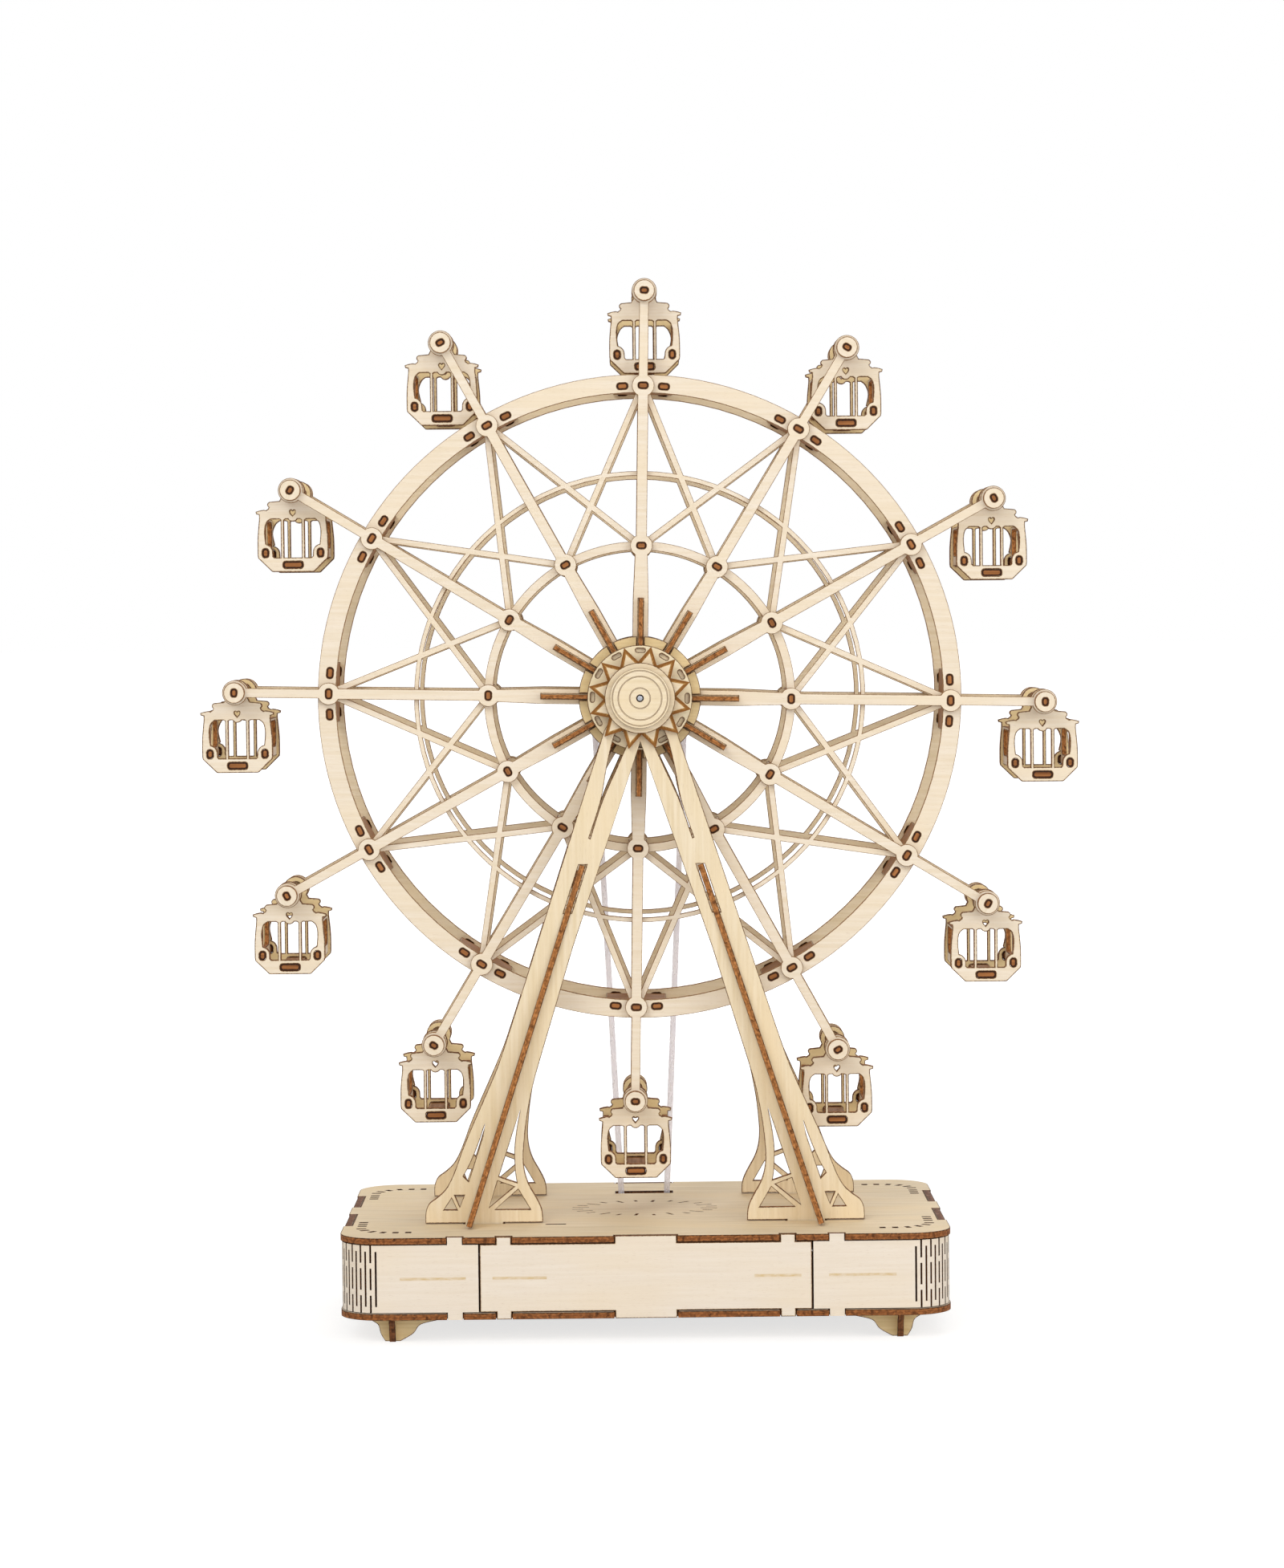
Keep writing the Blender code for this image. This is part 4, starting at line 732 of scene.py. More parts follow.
def singe_finish(name, wood, burnt, fade=0.35):
    """The scorched strip beside a cut, dark as far across as fade says and then paler."""
    finish = Finish(name)
    vector = finish.uv()
    ragged = finish.noise(vector, (1.6, 0.4, 1.0))
    amount = finish.math("ADD", finish.axes(vector)["Y"], finish.range(ragged, 0.3, 0.7, -0.3, 0.3))
    colour = finish.mix(finish.range(amount, fade, 1.05), linear(burnt), linear(wood))
    roughness = finish.range(ragged, 0.3, 0.7, 0.6, 0.78)
    return finish.material(colour, roughness, levels={SPECULAR: 0.2})


def solid_wood_finish(name, light, dark, edge, face_axis):
    """Plywood for a frame's own solid: faces across one axis, burnt edges all round."""
    finish = Finish(name)
    place = finish.place()
    colour, streaks, fleck = wood_tone(finish, place, linear(light), linear(dark))
    facing = finish.axes(finish.node("TexCoord")["Normal"])[face_axis]
    mask = finish.range(finish.math("ABSOLUTE", facing), 0.6, 0.8)
    lines = finish.range(finish.noise(place, (2.2, 2.2, 2.2), 2.0), 0.4, 0.7)
    burnt = finish.mix(lines, linear(edge), scaled(linear(edge), 0.45))
    roughness = finish.range(streaks, 0.3, 0.7, 0.56, 0.74)
    return finish.material(finish.mix(mask, burnt, colour), roughness, (fleck, 0.2, 0.0001))


def metal_finish(name, light, dark, roughness, stretch):
    """Brushed or drawn metal with fine lines, faint stains and uneven gloss."""
    light, dark = linear(light), linear(dark)
    finish = Finish(name, 1.0)
    place = finish.place()
    lines, stains = finish.noise(place, stretch, 4.0), finish.noise(place, 0.35)
    colour = finish.mix(finish.range(stains, 0.4, 0.75, 0.0, 0.7), light, dark)
    colour = finish.mix(finish.range(lines, 0.35, 0.7, 0.0, 0.3), colour, dark)
    both = finish.math("ADD", lines, stains)
    gloss = finish.range(both, 0.7, 1.3, roughness - 0.08, roughness + 0.14)
    return finish.material(colour, gloss, (lines, 0.25, 0.00003))


def rubber_finish():
    finish = Finish("dark_rubber")
    place = finish.place()
    dust, grit = finish.noise(place, 0.6, 5.0), finish.noise(place, 6.0, 2.0)
    dusty = finish.range(dust, 0.45, 0.75, 0.0, 0.5)
    colour = finish.mix(dusty, linear((38, 37, 36)), linear((84, 80, 74)))
    return finish.material(colour, finish.range(dust, 0.3, 0.7, 0.72, 0.9), (grit, 0.4, 0.00008))


def belt_finish():
    """Translucent round elastic cord, pale with a faint lilac cast."""
    finish = Finish("clear_belt")
    cloud = finish.noise(finish.uv(), (0.15, 0.6, 1.0))
    pale, shade = linear((251, 249, 252)), linear((244, 241, 247))
    colour = finish.mix(finish.range(cloud, 0.3, 0.7), pale, shade)
    roughness = finish.range(cloud, 0.3, 0.7, 0.22, 0.36)
    levels = {"Transmission Weight": 0.45, "IOR": 1.03}
    return finish.material(colour, roughness, (cloud, 0.03, 0.0001), levels)


PALE = face_finish("pale_ply", (239, 226, 207), (230, 213, 186))
CREAM = face_finish("cream_ply", (238, 222, 194), (225, 205, 168))
HONEY = face_finish("honey_ply", (222, 200, 156), (203, 177, 130))
PANEL = face_finish("panel_ply", (237, 225, 209), (232, 218, 199), dashed=True)
WARM = face_finish("warm_ply", (240, 222, 190), (220, 199, 163))
AMBER = face_finish("amber_ply", (238, 216, 168), (224, 199, 149))
# Brighter than the cream ply: painted light that lifts the shade the star casts on the slotted discs
BRIGHTENED_IVORY = face_finish("brightened_ivory_ply", (250, 237, 204), (241, 224, 186))
# Dark brown face: painted shade for the cross plates between the webs and the cabin floors
SHADE_BROWN = face_finish("shade_brown_ply", (168, 116, 64), (128, 86, 44))
TENON_FACE = face_finish("tenon_wood", (176, 116, 66), (116, 70, 36))
TAN_EDGE = edge_finish("tan_cut", (178, 132, 80), (196, 154, 102), (98, 62, 30))
BROWN_EDGE = edge_finish("brown_cut", (156, 98, 48), (176, 118, 66), (64, 34, 14))
SHEET_EDGE = edge_finish("sheet_cut", (132, 78, 38), (150, 94, 50), (52, 27, 12))
CHAR_EDGE = edge_finish("char_cut", (104, 62, 34), (118, 74, 42), (46, 25, 12))
TAN_SINGE = singe_finish("tan_singe", (228, 208, 176), (118, 78, 40))
BROWN_SINGE = singe_finish("brown_singe", (222, 198, 160), (88, 52, 24))
# The star's dark strip: partly real singe, partly painted shade along its zigzag edge
DARK_SINGE_AND_SHADE = singe_finish("dark_singe_and_shade", (190, 146, 84), (136, 88, 36), 0.6)
CHAR_SINGE = singe_finish("char_singe", (110, 64, 33), (40, 21, 10))
STEEL = metal_finish("drawn_steel", (158, 160, 165), (108, 110, 115), 0.3, (0.4, 0.4, 3.0))
BRASS = metal_finish("plain_brass", (212, 176, 104), (164, 124, 62), 0.32, (0.5, 3.0, 0.5))

PALE_PLY = (PALE, TAN_EDGE, TAN_SINGE)
CREAM_PLY = (CREAM, TAN_EDGE, TAN_SINGE)
RINGED_PLY = (CREAM, TAN_EDGE, BROWN_SINGE)
DARK_CUT_PALE = (PALE, BROWN_EDGE, TAN_SINGE)
HONEY_PLY, SHADE_BROWN_PLY, AMBER_PLY, CABIN_PLY, BRIGHTENED_IVORY_PLY, SUPPORT_PLY = (
    (face, BROWN_EDGE, BROWN_SINGE) for face in (HONEY, SHADE_BROWN, AMBER, PALE, BRIGHTENED_IVORY, CREAM)
)
FOOT_PLY = (HONEY, CHAR_EDGE, BROWN_SINGE)
PANEL_PLY = (PANEL, SHEET_EDGE, BROWN_SINGE)
WALL_PLY = (PANEL, CHAR_EDGE, BROWN_SINGE)
CHARRED = (SHADE_BROWN, CHAR_EDGE, CHAR_SINGE)
WARM_PLY = (WARM, SHEET_EDGE, BROWN_SINGE)
STAR_PLY = (CREAM, BROWN_EDGE, DARK_SINGE_AND_SHADE)
TENON = (TENON_FACE, BROWN_EDGE, CHAR_SINGE)


# Base

PANEL_LOW, PANEL_HIGH = BOTTOM_TOP + GAP, TOP_UNDER - GAP
SMALL_TABS = [span(side * x, SMALL_TAB) for x in (PANEL_TAB_X, CORNER_TAB_X) for side in SIDES]
EDGE_TABS = sorted([span(0.0, MIDDLE_TAB), *SMALL_TABS])
FOOT_PLACES = [(side * FOOT_X, face * FOOT_Y, -side) for side in SIDES for face in SIDES]


def base_outline():
    half_x, half_y = BASE_WIDTH / 2, BASE_DEPTH / 2
    notch = WALL_INSET + PLY + GAP
    x, y = half_x - BASE_CORNER, half_y - BASE_CORNER
    points = notched(EDGE_TABS, -half_y, notch - half_y)
    points += arc(BASE_CORNER, 180, 90, CORNER_STEPS, (x, -y))
    points += [(depth, along) for along, depth in notched(SIDE_TABS, half_x, half_x - notch)]
    points += arc(BASE_CORNER, 90, 0, CORNER_STEPS, (x, y))
    return points + [(-x, -y) for x, y in points]


def corner_ticks():
    """Small cut marks round the plate's corners, all pointing inwards."""
    marks = [rectangle(0.7, 1.15, (x, TICK_Y + TICK_RADIUS)) for x in (72.7, 76.6)]
    for degrees in (17, 39, 61, 83):
        mark = turned(rectangle(0.6, 1.25, (0.0, TICK_RADIUS)), degrees)
        marks.append(moved(mark, TICK_X, TICK_Y))
    marks += [rectangle(1.15, 0.7, (TICK_X + TICK_RADIUS, y)) for y in (34.6, 30.7, 26.8)]
    ways = [(side_x, side_y) for side_x in SIDES for side_y in SIDES]
    return [[(x * way[0], y * way[1]) for x, y in mark] for way in ways for mark in marks]


def dial():
    """A plain dial of short marks round the middle of the top plate."""
    marks = []
    for index in range(24):
        half = 1.1 if index % 2 else 1.8
        mark = rectangle(0.22, half, (0.0, DIAL_RADIUS - half))
        marks.append([(x * DIAL_WIDENED, y) for x, y in turned(mark, 15 * index + 7.5)])
    return marks


def top_plate():
    tenons = [(side * SUPPORT_TENON_X, face * SUPPORT_Y) for side in SIDES for face in SIDES]
    outlines = [base_outline()] + [slot_hole(SUPPORT_TENON, centre) for centre in tenons]
    cuts = [rectangle(*BELT_SLOT, (0.0, BELT_Y - 1.0)), rectangle(2.9, 0.55, (-27.7, -34.6))]
    cuts = corner_ticks() + cuts
    return plate(outlines + dial() + cuts, charred=len(cuts))


def bottom_plate():
    outlines = [base_outline(), circle(KEY_HOLE, 32, (0.0, KEY_Y))]
    for x, y, inward in FOOT_PLACES:
        outlines.append(slot_hole(FOOT_TENON, (x + inward * FOOT_TENON_AT, y)))
    return plate(outlines + [slot_hole(BRACKET_TENON, (0.0, y)) for y in BRACKET_TENONS_Y])


def panel():
    half = SEAM_X - SEAM_GAP / 2
    tabs = [tab for tab in EDGE_TABS if abs(tab[0]) < SEAM_X]
    points = [(-half, PANEL_LOW)] + notched(tabs, PANEL_LOW, FOOT_HEIGHT, 0.0)
    points += [(half, PANEL_LOW), (half, PANEL_HIGH)]
    return plate([points + notched(tabs, PANEL_HIGH, BASE_TOP, 0.0)[::-1] + [(-half, PANEL_HIGH)]])


BEND_RADIUS = BASE_CORNER - WALL_INSET
BEND_X = BASE_WIDTH / 2 - WALL_INSET - BEND_RADIUS
BEND_Y = BASE_DEPTH / 2 - WALL_INSET - BEND_RADIUS
WALL_START = SEAM_X + SEAM_GAP / 2
WALL_FRONT = BEND_X - WALL_START
WALL_BEND = (BEND_RADIUS - PLY / 2) * math.pi / 2
WALL_LENGTH = 2 * (WALL_FRONT + WALL_BEND + BEND_Y)


def wall_point(length, offset):
    """Where a length along the bent wall lies, on a line inside the outer face by offset."""
    if length > WALL_LENGTH / 2:
        x, y = wall_point(WALL_LENGTH - length, offset)
        return (x, -y)
    if length <= WALL_FRONT:
        return (WALL_START + length, offset - BEND_RADIUS - BEND_Y)
    length -= WALL_FRONT
    if length <= WALL_BEND:
        x, y = polar(BEND_RADIUS - offset, 180 - 90 * length / WALL_BEND)
        return (BEND_X + x, y - BEND_Y)
    return (BEND_X + BEND_RADIUS - offset, length - WALL_BEND - BEND_Y)


def side_wall():
    """The wall round one end of the base, its corners cut into living hinges that let it bend."""
    rise = PANEL_HIGH - PANEL_LOW
    rows = [FOOT_HEIGHT, *(PANEL_LOW + share * rise for share in HINGE_SHARES), BASE_TOP]
    bends = (WALL_FRONT, WALL_LENGTH - WALL_FRONT - WALL_BEND)
    margin = (WALL_BEND - (HINGE_COLUMNS - 1) * HINGE_PITCH) / 2
    slits = [
        (*span(bend + margin + column * HINGE_PITCH, HINGE_SLIT), HINGE_BRIDGES[column % 2])
        for bend in bends for column in range(HINGE_COLUMNS)
    ]
    start, stop = span(CORNER_TAB_X - WALL_START, SMALL_TAB)
    tabs = [(start, stop), (WALL_LENGTH - stop, WALL_LENGTH - start)]
    tabs += [(WALL_LENGTH / 2 + start, WALL_LENGTH / 2 + stop) for start, stop in SIDE_TABS]
    cuts = {0.0, WALL_LENGTH, *bends, *(bend + WALL_BEND for bend in bends)}
    for start, stop, *_ in slits + tabs:
        cuts |= {start, stop}
    columns = sorted(cuts)

    def solid(column, row):
        here = (columns[column] + columns[column + 1]) / 2
        if row in (0, len(rows) - 2):
            return any(start < here < stop for start, stop in tabs)
        return all(row in bridges for start, stop, bridges in slits if start < here < stop)

    cells = [(column, row) for column in range(len(columns) - 1) for row in range(len(rows) - 1)]
    cells = [cell for cell in cells if solid(*cell)]
    numbers, faces = {}, []
    for column, row in cells:
        uvs = box_uvs(columns[column], columns[column + 1], rows[row], rows[row + 1])
        box = box_uvs(column, column + 1, row, row + 1)
        outer, inner = (
            [numbers.setdefault((*spot, offset), len(numbers)) for spot in box]
            for offset in (0.0, PLY)
        )
        faces += [(outer, uvs, FACE), (inner[::-1], uvs[::-1], FACE)]
        beside = ((column, row - 1), (column + 1, row), (column, row + 1), (column - 1, row))
        for first, neighbour in enumerate(beside):
            if neighbour not in cells:
                second = (first + 1) % 4
                quad = (outer[first], inner[first], inner[second], outer[second])
                length = math.dist(uvs[first], uvs[second])
                faces.append((quad, [(0, 1), (0, -1), (length, -1), (length, 1)], EDGE))
    corners = [(*wall_point(columns[x], offset), rows[z]) for x, z, offset in numbers]
    return mesh_from(corners, faces)


def foot_side(reach):
    """Smooth ogee from the sole up to the flared top."""
    top, flare = FOOT_HEIGHT - GAP, reach - FOOT_SOLE
    line = ((0.0, 0.0), (0.35, 0.32), (0.55, 0.70), (1.0, 0.88))
    line = [(FOOT_SOLE + share * flare, rise * top) for share, rise in line]
    return smoothed(line, 5) + [(reach, top)]


def foot():
    top = FOOT_HEIGHT - GAP
    near, far = span(FOOT_TENON_AT, FOOT_TENON)
    outer = foot_side(FOOT_OUTER)
    tenon = [(far, top), (far, BOTTOM_TOP), (near, BOTTOM_TOP), (near, top)]
    along = foot_side(FOOT_INNER) + tenon + mirrored(outer)
    return [(plate([along]), STAND), (plate([outer + mirrored(outer)]), QUARTER @ STAND)]


def add_base():
    for name, shape, z, finishes, node, slot in (
        ("base_floor_sheet", bottom_plate(), FOOT_HEIGHT, PANEL_PLY, "base_bottom_plate", "plywood"),
        ("base_top_sheet", top_plate(), TOP_UNDER, WARM_PLY + CHARRED, "base_top_plate", "warm_plywood"),
    ):
        piece(name, [(shape, at(0, 0, z + PLY / 2))], finishes, "root", slot, node)
    flat, wall = panel(), side_wall()
    wall_y = BASE_DEPTH / 2 - WALL_INSET - PLY / 2
    for name, shape, place, node in (
        ("front_base_panel", flat, plane_y(-wall_y), "front_panel"),
        ("back_base_panel", flat, plane_y(wall_y), "back_panel"),
        ("right_bent_wall", wall, Matrix(), "right_side_wall"),
        ("left_bent_wall", wall, HALF_TURN, "left_side_wall"),
    ):
        piece(name, [(shape, place)], WALL_PLY, "root", "plywood", node)
    for x, y, inward in FOOT_PLACES:
        place = at(x, y, 0) @ (Matrix() if inward > 0 else HALF_TURN)
        name = ("left" if x < 0 else "right") + ("_front" if y < 0 else "_rear")
        placed = [(shape, place @ turn) for shape, turn in foot()]
        piece(name + "_crossed_foot", placed, FOOT_PLY, "root", "warm_plywood", name + "_foot")


# Supports

RIB_SPAN = RIB_FOOT_X - RIB_TOP[0]


def rib_x(height, aside=0.0):
    return RIB_TOP[0] + RIB_SPAN * ((RIB_TOP[1] - height) / RIB_TOP[1]) + aside


def leg_outline():
    """Right leg's outer edge from the hub down, and its inner edge from the foot up."""
    outer = [(11.2, 152.7), (24.0, 113.5)] + smoothed([
        (37.6, 71.7), (42.6, 56.6), (45.4, 48.6), (49.1, 40.0), (53.4, 30.4), (56.3, 23.6),
        (58.2, 18.4), (60.0, 14.0), (62.0, 10.6), (64.6, 8.2), (66.8, 6.6), (67.9, 4.6),
        (68.2, 2.4), (68.2, GAP),
    ], 3)
    inner = smoothed([
        (31.7, GAP), (31.8, 2.9), (32.4, 5.4), (34.0, 8.6), (36.0, 12.2), (37.2, 16.0),
        (37.6, 20.0), (37.4, 24.0), (36.8, 30.0), (35.8, 36.1), (34.4, 42.8), (32.6, 49.2),
        (29.0, 61.0),
    ], 3)
    return outer, inner + [(21.6, 85.4)]


def leg_cutouts():
    """Openings of the right leg: fork, rib slot and, each side of the rib, a slit over triangles."""
    fork = smoothed([(15.85, -43.4), (12.0, -31.9), (7.6, -22.1), (3.8, -13.7), (3.0, -11.6)], 4)
    fork += smoothed([(7.0, -9.6), (8.7, -13.7), (10.6, -22.1), (12.45, -31.9), (16.2, -43.2)], 4)
    half, low, strip = PLY / 2 + GAP, RIB_TOP[1] - RIB_TENON, RIB_STRIP
    top_x, top = RIB_TOP
    slot = [(rib_x(low) - half, low), (rib_x(low) + half, low), (top_x + half, top), (top_x - half, top)]
    outer = smoothed([(49.3, 31.4), (50.7, 27.2), (52.4, 22.7), (54.3, 18.4), (56.3, 14.8)], 3)
    inner = [(38.4, 35.5), (39.3, 31.2), (40.0, 26.8), (40.4, 22.0), (40.2, 16.2), (39.7, 12.7)]
    return [
        moved(fork, 0.0, HUB_HEIGHT),
        slot,
        outer + [(rib_x(13.2, strip), 13.2), (rib_x(27.0, strip), 27.0)],
        [(62.4, 4.4), (58.4, 4.4), (60.0, 8.0)],
        [(rib_x(8.9, strip), 8.9), (59.0, 8.9), (rib_x(5.2, strip + 0.2), 5.2)],
        smoothed(inner, 3) + [(rib_x(14.6, -strip), 14.6), (rib_x(30.0, -strip), 30.0)],
        [(39.3, 10.6), (35.6, 4.3), (46.6, 4.3)],
        [(rib_x(13.3, -strip), 13.3), (40.6, 11.4), (rib_x(4.9, -strip), 4.9)],
    ]


def support_frame():
    outer, inner = leg_outline()
    near, far = span(SUPPORT_TENON_X, SUPPORT_TENON)
    right = outer + [(far, GAP), (far, -PLY), (near, -PLY), (near, GAP)] + inner
    outline = arc(BOSS_RADIUS, -125, 125, 40, (0.0, HUB_HEIGHT)) + right
    outline += [(0.0, HUB_HEIGHT - FORK_APEX)] + mirrored(right)
    outlines = [outline, circle(FIXED_BORE, 24, (0.0, HUB_HEIGHT))]
    for opening in leg_cutouts():
        outlines += [opening, mirrored(opening)]
    return plate(outlines, grain=90)


def leg_rib():
    length = math.hypot(RIB_SPAN, RIB_TOP[1])
    start, end = length - RIB_TENON * length / RIB_TOP[1] + GAP, length - GAP
    belly = [(1, RIB_DEPTH_TOP), (0.72, 2.6), (0.4, 6.2), (0.14, 10.4)]
    belly = [(share * start, depth) for share, depth in belly] + [(RIB_LIFT, RIB_DEPTH_FOOT)]
    outline = [(RIB_LIFT, GAP), (start, GAP), (start, -PLY), (end, -PLY), (end, 0.0)]
    return plate([outline + smoothed(belly)], PLY - GAP / 2)


def rib_place(side, face):
    up = Vector((-side * RIB_SPAN, 0.0, RIB_TOP[1])).normalized()
    out = Vector((0.0, face, 0.0))
    turn = Matrix((up, out, up.cross(out))).transposed().to_4x4()
    return at(side * RIB_FOOT_X, face * (SUPPORT_Y + PLY / 2), BASE_TOP) @ turn


def star():
    points = []
    for ray in range(ARMS):
        start = PITCH * ray + STAR_TURN
        points += [polar(STAR_VALLEY, start), polar(STAR_RADIUS, start + PITCH / 2)]
    # Its wide dark strip along the zigzag is partly singe and partly painted shade
    return plate([points, circle(FIXED_BORE, 24)], singe=STAR_SINGE_AND_SHADE)


def washer(radius, bore, thickness=PLY, steps=64):
    return plate([circle(radius, steps), circle(bore, 24)], thickness)


def grooved_disc(radius, bore):
    """Disc whose front has thin engraved rings."""
    placed = [(washer(radius, bore, PLY - GROOVE_DEPTH), at(0, 0, -GROOVE_DEPTH / 2))]
    edges = [bore, *(edge for ring in GROOVES for edge in span(ring, GROOVE_WIDTH)), radius]
    for low, high in zip(edges[::2], edges[1::2]):
        ring = plate([circle(high, 64), circle(low, 64)], GROOVE_DEPTH, singe=GROOVE_SINGE)
        placed.append((ring, at(0, 0, PLY / 2 - GROOVE_DEPTH / 2)))
    return placed


def add_supports():
    frame_shape, rib = support_frame(), leg_rib()
    for name, face, look in (("front", -1, SUPPORT_PLY), ("rear", 1, WARM_PLY)):
        placed = [(frame_shape, at(0, face * SUPPORT_Y, BASE_TOP) @ STAND)]
        piece(name + "_a_frame", placed, look, "root", "warm_plywood", name + "_support_frame")
        for side_name, side in (("_left_leg_", -1), ("_right_leg_", 1)):
            stem, placed = name + side_name, [(rib, rib_place(side, face))]
            piece(stem + "stiffener", placed, SUPPORT_PLY, "root", "cut_plywood", stem + "rib")
    star_y, step = -(SUPPORT_Y + PLY + GAP), PLY + GAP
    cap = grooved_disc(CAP_STEP_RADIUS, AXLE_TIP_RADIUS + 0.15)
    disc, bearing = washer(CAP_RADIUS, FIXED_BORE), washer(BEARING_RADIUS, FIXED_BORE)
    for name, shapes, y, finishes, node in (
        ("hub_star", [(star(), Matrix())], star_y, STAR_PLY, "front_star_plate"),
        ("hub_cap_disc", [(disc, Matrix())], star_y - step, SUPPORT_PLY, "front_cap_disc"),
        ("hub_ringed_cap", cap, star_y - 2 * step, RINGED_PLY, "front_cap_step"),
        ("rear_bearing_washer", [(bearing, Matrix())], BEARING_Y, WARM_PLY, "rear_bearing_disc"),
    ):
        placed = [(shape, HUB @ plane_y(y) @ turn) for shape, turn in shapes]
        piece(name, placed, finishes, "root", "plywood", node)


# Wheel

def web_openings():
    """Openings of one arm's share of the web, between its rings and crossing bars."""
    half = LATTICE_WIDTH / 2
    rim_in = RIM_RADIUS - RIM_WIDTH / 2
    middle_in, middle_out = span(MIDDLE_RING_RADIUS, MIDDLE_RING_WIDTH)
    inner_out = INNER_RING_RADIUS + INNER_RING_WIDTH / 2
    out = (polar(RIM_RADIUS, 0), polar(INNER_RING_RADIUS, PITCH))
    back = mirrored(out)
    after = turned(back, PITCH)[::-1]
    last = mirrored(after)

    def cell(low, high, start, stop, *lines):
        shape = arc(high, start, stop, 8) + arc(low, stop, start, 8)
        for line in lines:
            shape = clipped(shape, *line, half)
        return shape

    kite = cell(inner_out, middle_in, -PITCH / 2, PITCH / 2, out, back, after, last)
    return [
        cell(middle_out, rim_in, -PITCH / 2, PITCH / 2, out, back),
        clipped(kite, (10.0, INNER_LUG_TOP), (-10.0, INNER_LUG_TOP), 0.0),
        cell(middle_out, rim_in, 0, PITCH, out[::-1], after),
        cell(inner_out, middle_in, 0, PITCH, out[::-1], after),
        cell(inner_out, middle_in, 0, PITCH, out, after[::-1]),
    ]


def tenon_hole(radius, long, short=PLY):
    return rounded(long / 2 + HOLE_ROOM, short / 2 + HOLE_ROOM, 0.98, (0.0, radius), 5)


def tenon_end(long, short=PLY):
    """End of a tenon, charred round a lighter middle."""
    outline = rounded(long / 2 + 0.05, short / 2 + 0.05, 0.92, (0, 0), 5)
    return plate([outline], TENON_PLATE, singe=TENON_SINGE, finish=1)


def wheel_web():
    bore = []
    for arm in range(ARMS):
        lug = arc(INNER_LUG_RADIUS, 241, 119, 10, (0.0, INNER_RING_RADIUS))
        bore += turned(lug, PITCH * arm)
        start, stop = PITCH * arm + INNER_LUG_ANGLE, PITCH * (arm + 1) - INNER_LUG_ANGLE
        bore += arc(INNER_RING_RADIUS - INNER_RING_WIDTH / 2, start, stop, 6)
    side_hole = tenon_hole(RIM_NODE_RADIUS, SIDE_TENON)
    cells = web_openings()
    cells += [tenon_hole(RIM_NODE_RADIUS, RIM_TENON), tenon_hole(INNER_RING_RADIUS, INNER_TENON)]
    cells += [turned(side_hole, RIM_TENON_TURN), turned(side_hole, -RIM_TENON_TURN)]
    outlines = [circle(RIM_RADIUS + RIM_WIDTH / 2, 144), bore]
    return plate(outlines + each_arm(*cells), singe=FINE_SINGE)


def spoke_side():
    tip, middle = SPOKE_TIP_WIDTH / 2, SPOKE_MIDDLE_WIDTH / 2
    drop = math.degrees(math.asin(tip / TIP_RADIUS))
    points = arc(TIP_RADIUS, 0, 180 - drop, 14, (0.0, PIVOT_RADIUS))
    nodes = ((RIM_NODE_RADIUS, tip, middle), (INNER_RING_RADIUS, middle, middle + 0.3))
    for radius, above, below in nodes:
        rise, fall = (math.degrees(math.asin(half / NODE_RADIUS)) for half in (above, below))
        points += arc(NODE_RADIUS, rise, 180 - fall, 12, (0.0, radius))
    return points + [(SPOKE_HUB_WIDTH / 2, FIN_OUTER)]


def spokes():
    right = spoke_side()
    valley = polar(SPOKE_HUB_WIDTH / 2 / math.sin(math.radians(PITCH / 2)), PITCH / 2)
    arm_outline = mirrored(right)[:-1] + right + [valley]
    middle, half = (FIN_INNER + FIN_OUTER) / 2, (FIN_OUTER - FIN_INNER) / 2
    outlines = [sum(each_arm(arm_outline), []), circle(TURNING_BORE, 24)] + each_arm(
        tenon_hole(RIM_NODE_RADIUS, RIM_TENON),
        tenon_hole(INNER_RING_RADIUS, INNER_TENON),
        rectangle(FIN_THICKNESS / 2 + FIN_ROOM, half + FIN_ROOM, (0.0, middle)),
        tenon_hole(PIVOT_RADIUS, ROD_LONG, ROD_SHORT),
    )
    return plate(outlines, singe=FINE_SINGE)


def hub_disc():
    half = PLY / 2 + NOTCH_ROOM
    edge = math.degrees(math.asin(half / HUB_DISC_RADIUS))
    points = []
    for start in range(0, 360, PITCH):
        points += turned([(-half, FIN_INNER - GAP), (half, FIN_INNER - GAP)], start)
        points += arc(HUB_DISC_RADIUS, start + edge, start + PITCH - edge, 6)
    return plate([points, circle(TURNING_BORE, 24)])


def slotted_disc(face):
    """Disc outside the fins, with a short sunk slot across each arm on its outer side."""
    disc = [circle(SLOTTED_DISC_RADIUS, 72), circle(TURNING_BORE, 24)]
    slots = each_arm(rounded(1.5, 0.6, 0.55, (0.0, DISC_SLOT_RADIUS), 4))
    front, back = plate(disc + slots, PLY / 2), plate(disc, PLY / 2)
    return [
        (front, WHEEL @ plane_y(face * (SLOTTED_DISC_Y + PLY / 4))),
        (back, WHEEL @ plane_y(face * (SLOTTED_DISC_Y - PLY / 4))),
    ]


def cross_piece(half, tenon, side_tenons=False):
    """Plate of this half width between the webs; its tenons end a little under the outer faces."""
    shoulder = WEB_Y - PLY / 2 - SHOULDER_ROOM
    profile = [(tenon, SPOKE_OUTSIDE - TENON_LENGTH), (tenon, shoulder)]
    if side_tenons:
        middle = RIM_NODE_RADIUS * math.sin(math.radians(RIM_TENON_TURN))
        near, far = span(middle, SIDE_TENON)
        outside = WEB_OUTSIDE - TENON_LENGTH
        profile += [(near, shoulder), (near, outside), (far, outside), (far, shoulder)]
    profile.append((half, shoulder))
    right = profile + flipped(profile)
    return plate([right + mirrored(right)], LOOSE_PLY)


def pulley(belt_radius, place):
    """Grooved pulley of three glued discs."""
    rim, core = belt_radius + PULLEY_RIM, belt_radius - BELT_DIAMETER / 2 - GAP
    discs = ((rim, -PLY), (core, 0), (rim, PLY))
    return [(washer(radius, TURNING_BORE, steps=72), place @ at(0, 0, z)) for radius, z in discs]


